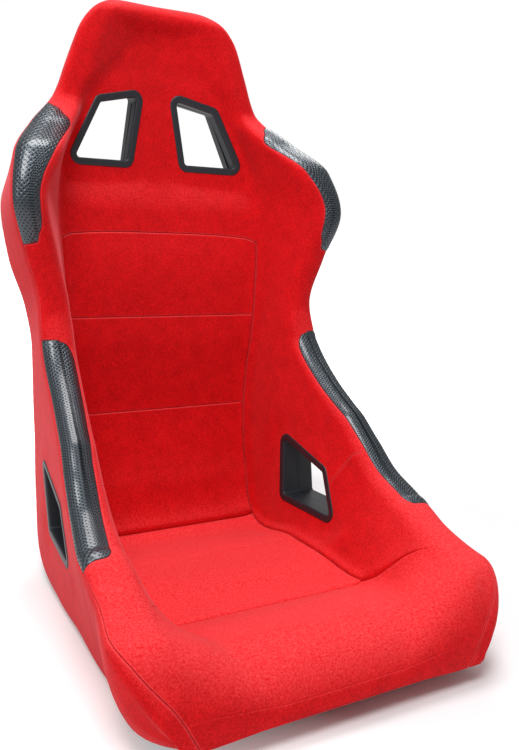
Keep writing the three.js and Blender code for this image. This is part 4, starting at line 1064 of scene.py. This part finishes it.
def grained(name, base, roughness, grain, strength, depth, **inputs):
    """A plain finish with an even grain: mottle's values, then the bump's strength and depth in mm."""
    made, tree, shader = finish(name, base, roughness, **inputs)
    raised = add(tree, "ShaderNodeBump", Strength=strength, Distance=depth * MM, Height=mottle(tree, *grain))
    tree.links.new(raised.outputs[0], shader.inputs["Normal"])
    return made


# painted shade: the near black of the discs stands for the shade inside each punched hole
HOLE_SHADE = finish("dark of a punched hole", "#060708", 0.9, Specular_IOR_Level=0.1)[0]
print("first finish:", HOLE_SHADE.name)

# %% [markdown]
# The cover's cloth is a flocked polyester velour: short fibres that stand upright on a woven
# back. It mottles where a hand has brushed it. Faces that look up are painted paler, a painted
# highlight for the light from above. Beside a seam the cloth gets a pale painted highlight, and
# the seam's bottom gets dark painted shade. Sheen gives it the soft light edge where it turns away.

# %% Velour
NAP = 2.5  # mm; real nap is a tenth of that, and wouldn't show in the picture
BRUSHED = 23.81  # mm, the width of a brushed patch
BRUSHED_SHARE = 0.22
LIGHT, DARK = "#EE181D", "#A4080E"
# painted highlight on upward faces, painted highlight beside a seam, painted shade in a seam's bottom
TOP_HIGHLIGHT, SEAM_HIGHLIGHT, SEAM_SHADE = "#F4565A", "#F4666B", "#6A0608"
VELOUR, tree, shader = finish("red flocked velour", LIGHT, 0.92, Sheen_Weight=0.5, Sheen_Roughness=0.4,
                              Sheen_Tint=colour("#FF8F96"), Specular_IOR_Level=0.1)
nap = mottle(tree, NAP, 4, 0.75)
nap_tone = add(tree, "ShaderNodeMapRange", nap, 0.3, 0.7, 0.0, 1 - BRUSHED_SHARE)
brushed = mottle(tree, BRUSHED, 3, 0.6, 3.1)
brushed_tone = add(tree, "ShaderNodeMapRange", brushed, 0.3, 0.7, 0.0, BRUSHED_SHARE)
tone = add(tree, "ShaderNodeMath", nap_tone.outputs[0], brushed_tone.outputs[0],
           settings={"operation": "ADD"})
cloth = add(tree, "ShaderNodeMix", tone.outputs[0], settings=MIX,
            at={COLOUR_A: colour(DARK), COLOUR_B: colour(LIGHT)})

# painted highlight: a pale mottled red that faces get more of the more they look up, as if lit from above
highlight_mottle = add(tree, "ShaderNodeMapRange", nap, 0.36, 0.64, 0.0, 1.0)
lit = add(tree, "ShaderNodeMix", highlight_mottle.outputs[0], settings=MIX,
          at={COLOUR_A: colour(LIGHT), COLOUR_B: colour(TOP_HIGHLIGHT)})
face = add(tree, "ShaderNodeSeparateXYZ", add(tree, "ShaderNodeNewGeometry").outputs["Normal"])
top_highlight_share = add(tree, "ShaderNodeMapRange", face.outputs[2], 0.25, 0.95, 0.0, 0.75)
cloth = add(tree, "ShaderNodeMix", top_highlight_share.outputs[0], settings=MIX,
            at={COLOUR_A: cloth.outputs[MIXED], COLOUR_B: lit.outputs[MIXED]})

# Beside a seam the cloth gets a painted highlight, and the seam's bottom painted shade, by the distance to
# the seam.
seam = add(tree, "ShaderNodeAttribute", settings={"attribute_name": "seam"}).outputs["Fac"]
inner = add(tree, "ShaderNodeMapRange", seam, 0.5, 1.2, 0.0, 1.0)
outer = add(tree, "ShaderNodeMapRange", seam, 1.4, 2.8, 0.2, 0.0)
edge = add(tree, "ShaderNodeMath", inner.outputs[0], outer.outputs[0], settings={"operation": "MULTIPLY"})
cloth = add(tree, "ShaderNodeMix", edge.outputs[0], settings=MIX,
            at={COLOUR_A: cloth.outputs[MIXED], COLOUR_B: colour(SEAM_HIGHLIGHT)})
seam_shade_share = add(tree, "ShaderNodeMapRange", seam, 0.1, 0.6, 0.5, 0.0)
cloth = add(tree, "ShaderNodeMix", seam_shade_share.outputs[0], settings=MIX,
            at={COLOUR_A: cloth.outputs[MIXED], COLOUR_B: colour(SEAM_SHADE)})
tree.links.new(cloth.outputs[MIXED], shader.inputs["Base Color"])
raised = add(tree, "ShaderNodeBump", Strength=0.4, Distance=0.9 * MM, Height=nap)
tree.links.new(raised.outputs[0], shader.inputs["Normal"])
print("velour:", len(tree.nodes), "nodes")

# %% [markdown]
# The patches are vinyl on cloth, embossed with a fine grain and punched for air. A punch drags
# the skin down with it, so the vinyl dips a little round each hole, and the dips catch the
# light in a diagonal pattern. The dips are a bump in the material, drawn on the flat pattern.
# The holes themselves are real pieces, made further on.

# %% Vinyl
HOLE_PITCH = 7.2  # mm between the punched holes of a row; the rows stand half of it apart
GRAIN = 1.111  # mm; real grain is half of that, and wouldn't show in the picture
VINYL, tree, shader = finish("dark satin vinyl, fine grain", "#1C2025", 0.34, Specular_IOR_Level=1.0,
                             Specular_Tint=colour("#D4E6F6"), Coat_Weight=0.7, Coat_Roughness=0.2)
drawn = add(tree, "ShaderNodeAttribute", settings={"attribute_name": "pattern"}).outputs["Vector"]
gaps = []
for shift in (0.5, 0.0):  # two square grids of holes, half a step apart
    cell = add(tree, "ShaderNodeVectorMath", drawn, (1 / HOLE_PITCH, 1 / HOLE_PITCH, 0), (shift, shift, 0.5),
               settings={"operation": "MULTIPLY_ADD"})
    part = add(tree, "ShaderNodeVectorMath", cell.outputs[0], settings={"operation": "FRACTION"})
    gaps.append(add(tree, "ShaderNodeVectorMath", part.outputs[0], (0.5, 0.5, 0.5),
                    settings={"operation": "DISTANCE"}).outputs["Value"])
to_hole = add(tree, "ShaderNodeMath", *gaps, settings={"operation": "MINIMUM"}).outputs[0]
grain = mottle(tree, GRAIN)
dip = add(tree, "ShaderNodeMapRange", to_hole, 0.10, 0.34, 0.0, 1.3)
rough_skin = add(tree, "ShaderNodeMapRange", grain, 0.3, 0.7, 0.0, 0.3)
height = add(tree, "ShaderNodeMath", dip.outputs[0], rough_skin.outputs[0], settings={"operation": "ADD"})
raised = add(tree, "ShaderNodeBump", Strength=0.8, Distance=0.6 * MM, Height=height.outputs[0])
tree.links.new(raised.outputs[0], shader.inputs["Normal"])
worn = add(tree, "ShaderNodeMapRange", grain, 0.3, 0.7, 0.3, 0.44)
tree.links.new(worn.outputs[0], shader.inputs["Roughness"])
print("vinyl:", len(tree.nodes), "nodes")

# %% Plastic, lining, foam and steel
# Spark-eroded tool texture on the mouldings: a soft, even gloss.
MOULDED = grained("satin black moulded plastic", "#23262C", 0.4, (0.667, 1), 0.12, 0.2,
                  Specular_IOR_Level=0.5)
# Felted fibres: matt and uneven.
LINING = grained("black non-woven lining", "#17181A", 0.95, (2.0, 4, 0.7), 0.5, 0.8)
# Open cells of a moulded block: matt, with small pits.
FOAM = grained("cream polyurethane foam", "#D8CFAE", 0.95, (1.25, 2), 0.6, 1.0)
# Powder that melts and flows in the oven: a slight orange peel.
STEEL = grained("black powder-coated steel", "#1B1C1E", 0.42, (1.43, 2), 0.2, 0.3, Specular_IOR_Level=0.5)
# Drawn wire with an oil film: patches of brighter and duller metal.
SPRING, tree, shader = finish("oiled spring steel wire", "#8B9095", 0.3, Metallic=1.0)
oily = add(tree, "ShaderNodeMapRange", mottle(tree, 3.85, 3), 0.3, 0.7, 0.24, 0.4)
tree.links.new(oily.outputs[0], shader.inputs["Roughness"])
print("materials:", len(bpy.data.materials))

# %% Every piece gets its finish
VINYL_PIECES = ("thigh_patch", "shoulder_patch")
for name, piece in pieces.items():
    if name.endswith("moulding"):
        piece.data.materials.append(MOULDED)
    elif name.startswith(VINYL_PIECES):
        piece.data.materials.append(VINYL)
    elif name == "base_lining_cover":
        piece.data.materials.append(LINING)
    else:
        piece.data.materials.append(VELOUR)
NODE_FINISH = {"cover_fabric": VELOUR, "vinyl": VINYL, "bezel_plastic": MOULDED, "foam": FOAM,
               "lining": LINING, "coated_steel": STEEL, "spring_steel": SPRING}
for part in frame["record"]["subparts"]:
    solid = frame["nodes"][part["node"]]
    for place in solid.material_slots:
        place.material = NODE_FINISH[part["material_slot"]]

# %% [markdown]
# ## Punched holes
# The patches' vinyl is perforated. Hundreds of holes could be cut into the mesh, but each would
# need a ring of faces for a spot that is 1.7 mm wide. So Geometry Nodes sets one small disc at each
# hole, turned to face outwards, a hair above the vinyl; its near black is the painted shade inside
# the hole. The holes stand on a diagonal grid on the flat pattern, as a punching machine would leave them.

# %% The node group that sets out the holes
punch = bpy.data.node_groups.new("punch holes", "GeometryNodeTree")
for name, kind in (("Points", "NodeSocketGeometry"), ("Radius", "NodeSocketFloat"),
                   ("Material", "NodeSocketMaterial")):
    punch.interface.new_socket(name, in_out="INPUT", socket_type=kind)
punch.interface.new_socket("Holes", in_out="OUTPUT", socket_type="NodeSocketGeometry")
given = punch.nodes.new("NodeGroupInput")
disc = add(punch, "GeometryNodeMeshCircle", settings={"fill_type": "NGON"}, Vertices=10,
           Radius=given.outputs["Radius"])
facing = add(punch, "GeometryNodeInputNamedAttribute", "facing", settings={"data_type": "FLOAT_VECTOR"})
aim = add(punch, "FunctionNodeAlignRotationToVector", settings={"axis": "Z"}, Vector=facing.outputs[0])
holes = add(punch, "GeometryNodeInstanceOnPoints", Points=given.outputs["Points"], Instance=disc.outputs[0],
            Rotation=aim.outputs[0])
real = add(punch, "GeometryNodeRealizeInstances", holes.outputs[0])
dark = add(punch, "GeometryNodeSetMaterial", real.outputs[0], Material=given.outputs["Material"])
finished = punch.nodes.new("NodeGroupOutput")
punch.links.new(dark.outputs[0], finished.inputs[0])
print("node group:", punch.name, len(punch.nodes), "nodes")

# %% Holes in the four patches
HOLE_RADIUS = 0.85  # mm
HOLE_MARGIN = 2.2  # no hole is nearer than this to the patch's seam, mm
HOLE_LIFT = 0.16  # the discs lie this far above the vinyl, mm


def punched(name, panel, side):
    """The dark discs of one patch."""
    grid = staggered(panel.loops[0].min(0), panel.loops[0].max(0), HOLE_PITCH, HOLE_PITCH / 2)
    grid = grid[inside(grid, panel.loops)]
    top, normal, nearest, _ = panel.lift(grid)
    clear = nearest > HOLE_MARGIN
    top, normal = top[clear] + normal[clear] * HOLE_LIFT, normal[clear] * [side, 1, 1]
    mesh = bpy.data.meshes.new(name)
    mesh.from_pydata((top * [side, 1, 1] * MM).tolist(), [], [])
    attribute = mesh.attributes.new("facing", "FLOAT_VECTOR", "POINT")
    attribute.data.foreach_set("vector", normal.astype(np.float32).ravel())
    maker = bpy.data.objects.new(name, mesh)
    scene.collection.objects.link(maker)
    modifier = maker.modifiers.new("punch", "NODES")
    modifier.node_group = punch
    given_values = {"Radius": HOLE_RADIUS * MM, "Material": HOLE_SHADE}
    for item in punch.interface.items_tree:
        if item.name in given_values:
            modifier[item.identifier] = given_values[item.name]
    bpy.context.view_layer.update()
    done = bpy.data.meshes.new_from_object(maker.evaluated_get(bpy.context.evaluated_depsgraph_get()))
    maker.modifiers.clear()
    maker.data = done
    pieces[name] = maker
    print(name, "holes", len(top), "faces", len(done.polygons))


for side, word in SIDES:
    punched(f"thigh_patch_holes_{word}", thigh_patch, side)
    punched(f"shoulder_patch_holes_{word}", shoulder_patch, side)

# %% [markdown]
# ## Hiding the solids that each piece stands for
# The imported solids are still there, under the cover. The fine cover pieces take the place of
# the coarse cover panels and of the foam under them. The tubes, the springs and the rails stay
# as they are.

# %% Bodies and what is replaced
STANDS_FOR = {
    "cushion": ("cushion_cover", "cushion_foam"),
    "ribbed_back": ("back_panel_cover", "back_foam"),
    "front_roll": ("front_roll_cover", "front_roll_foam"),
    "rear_panel": ("rear_cover",),
    "base_lining_cover": ("base_lining",),
    "upper_cover": ("head_panel_cover", "head_foam", "upper_back_foam",
                    *[f"{node}_{word}" for word in ("left", "right")
                      for node in ("inner_side_cover", "waist_cover", "head_side_cover",
                                   "thigh_bolster_foam", "shoulder_bolster_foam")]),
}
for word in ("left", "right"):
    STANDS_FOR[f"outer_side_{word}"] = (f"outer_side_cover_{word}",)
    STANDS_FOR[f"thigh_patch_{word}"] = (f"thigh_wear_patch_{word}",)
    STANDS_FOR[f"shoulder_patch_{word}"] = (f"shoulder_wear_patch_{word}",)
    for node in BEZELS.values():
        STANDS_FOR[f"{node}_{word}_moulding"] = (f"{node}_{word}",)
for name, nodes in STANDS_FOR.items():
    piece = pieces[name]
    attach(piece, "root")
    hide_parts(*nodes)
for name, piece in pieces.items():
    if name not in STANDS_FOR:
        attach(piece, "root")
print("pieces:", len(pieces), "of which", len(STANDS_FOR), "stand for solids")
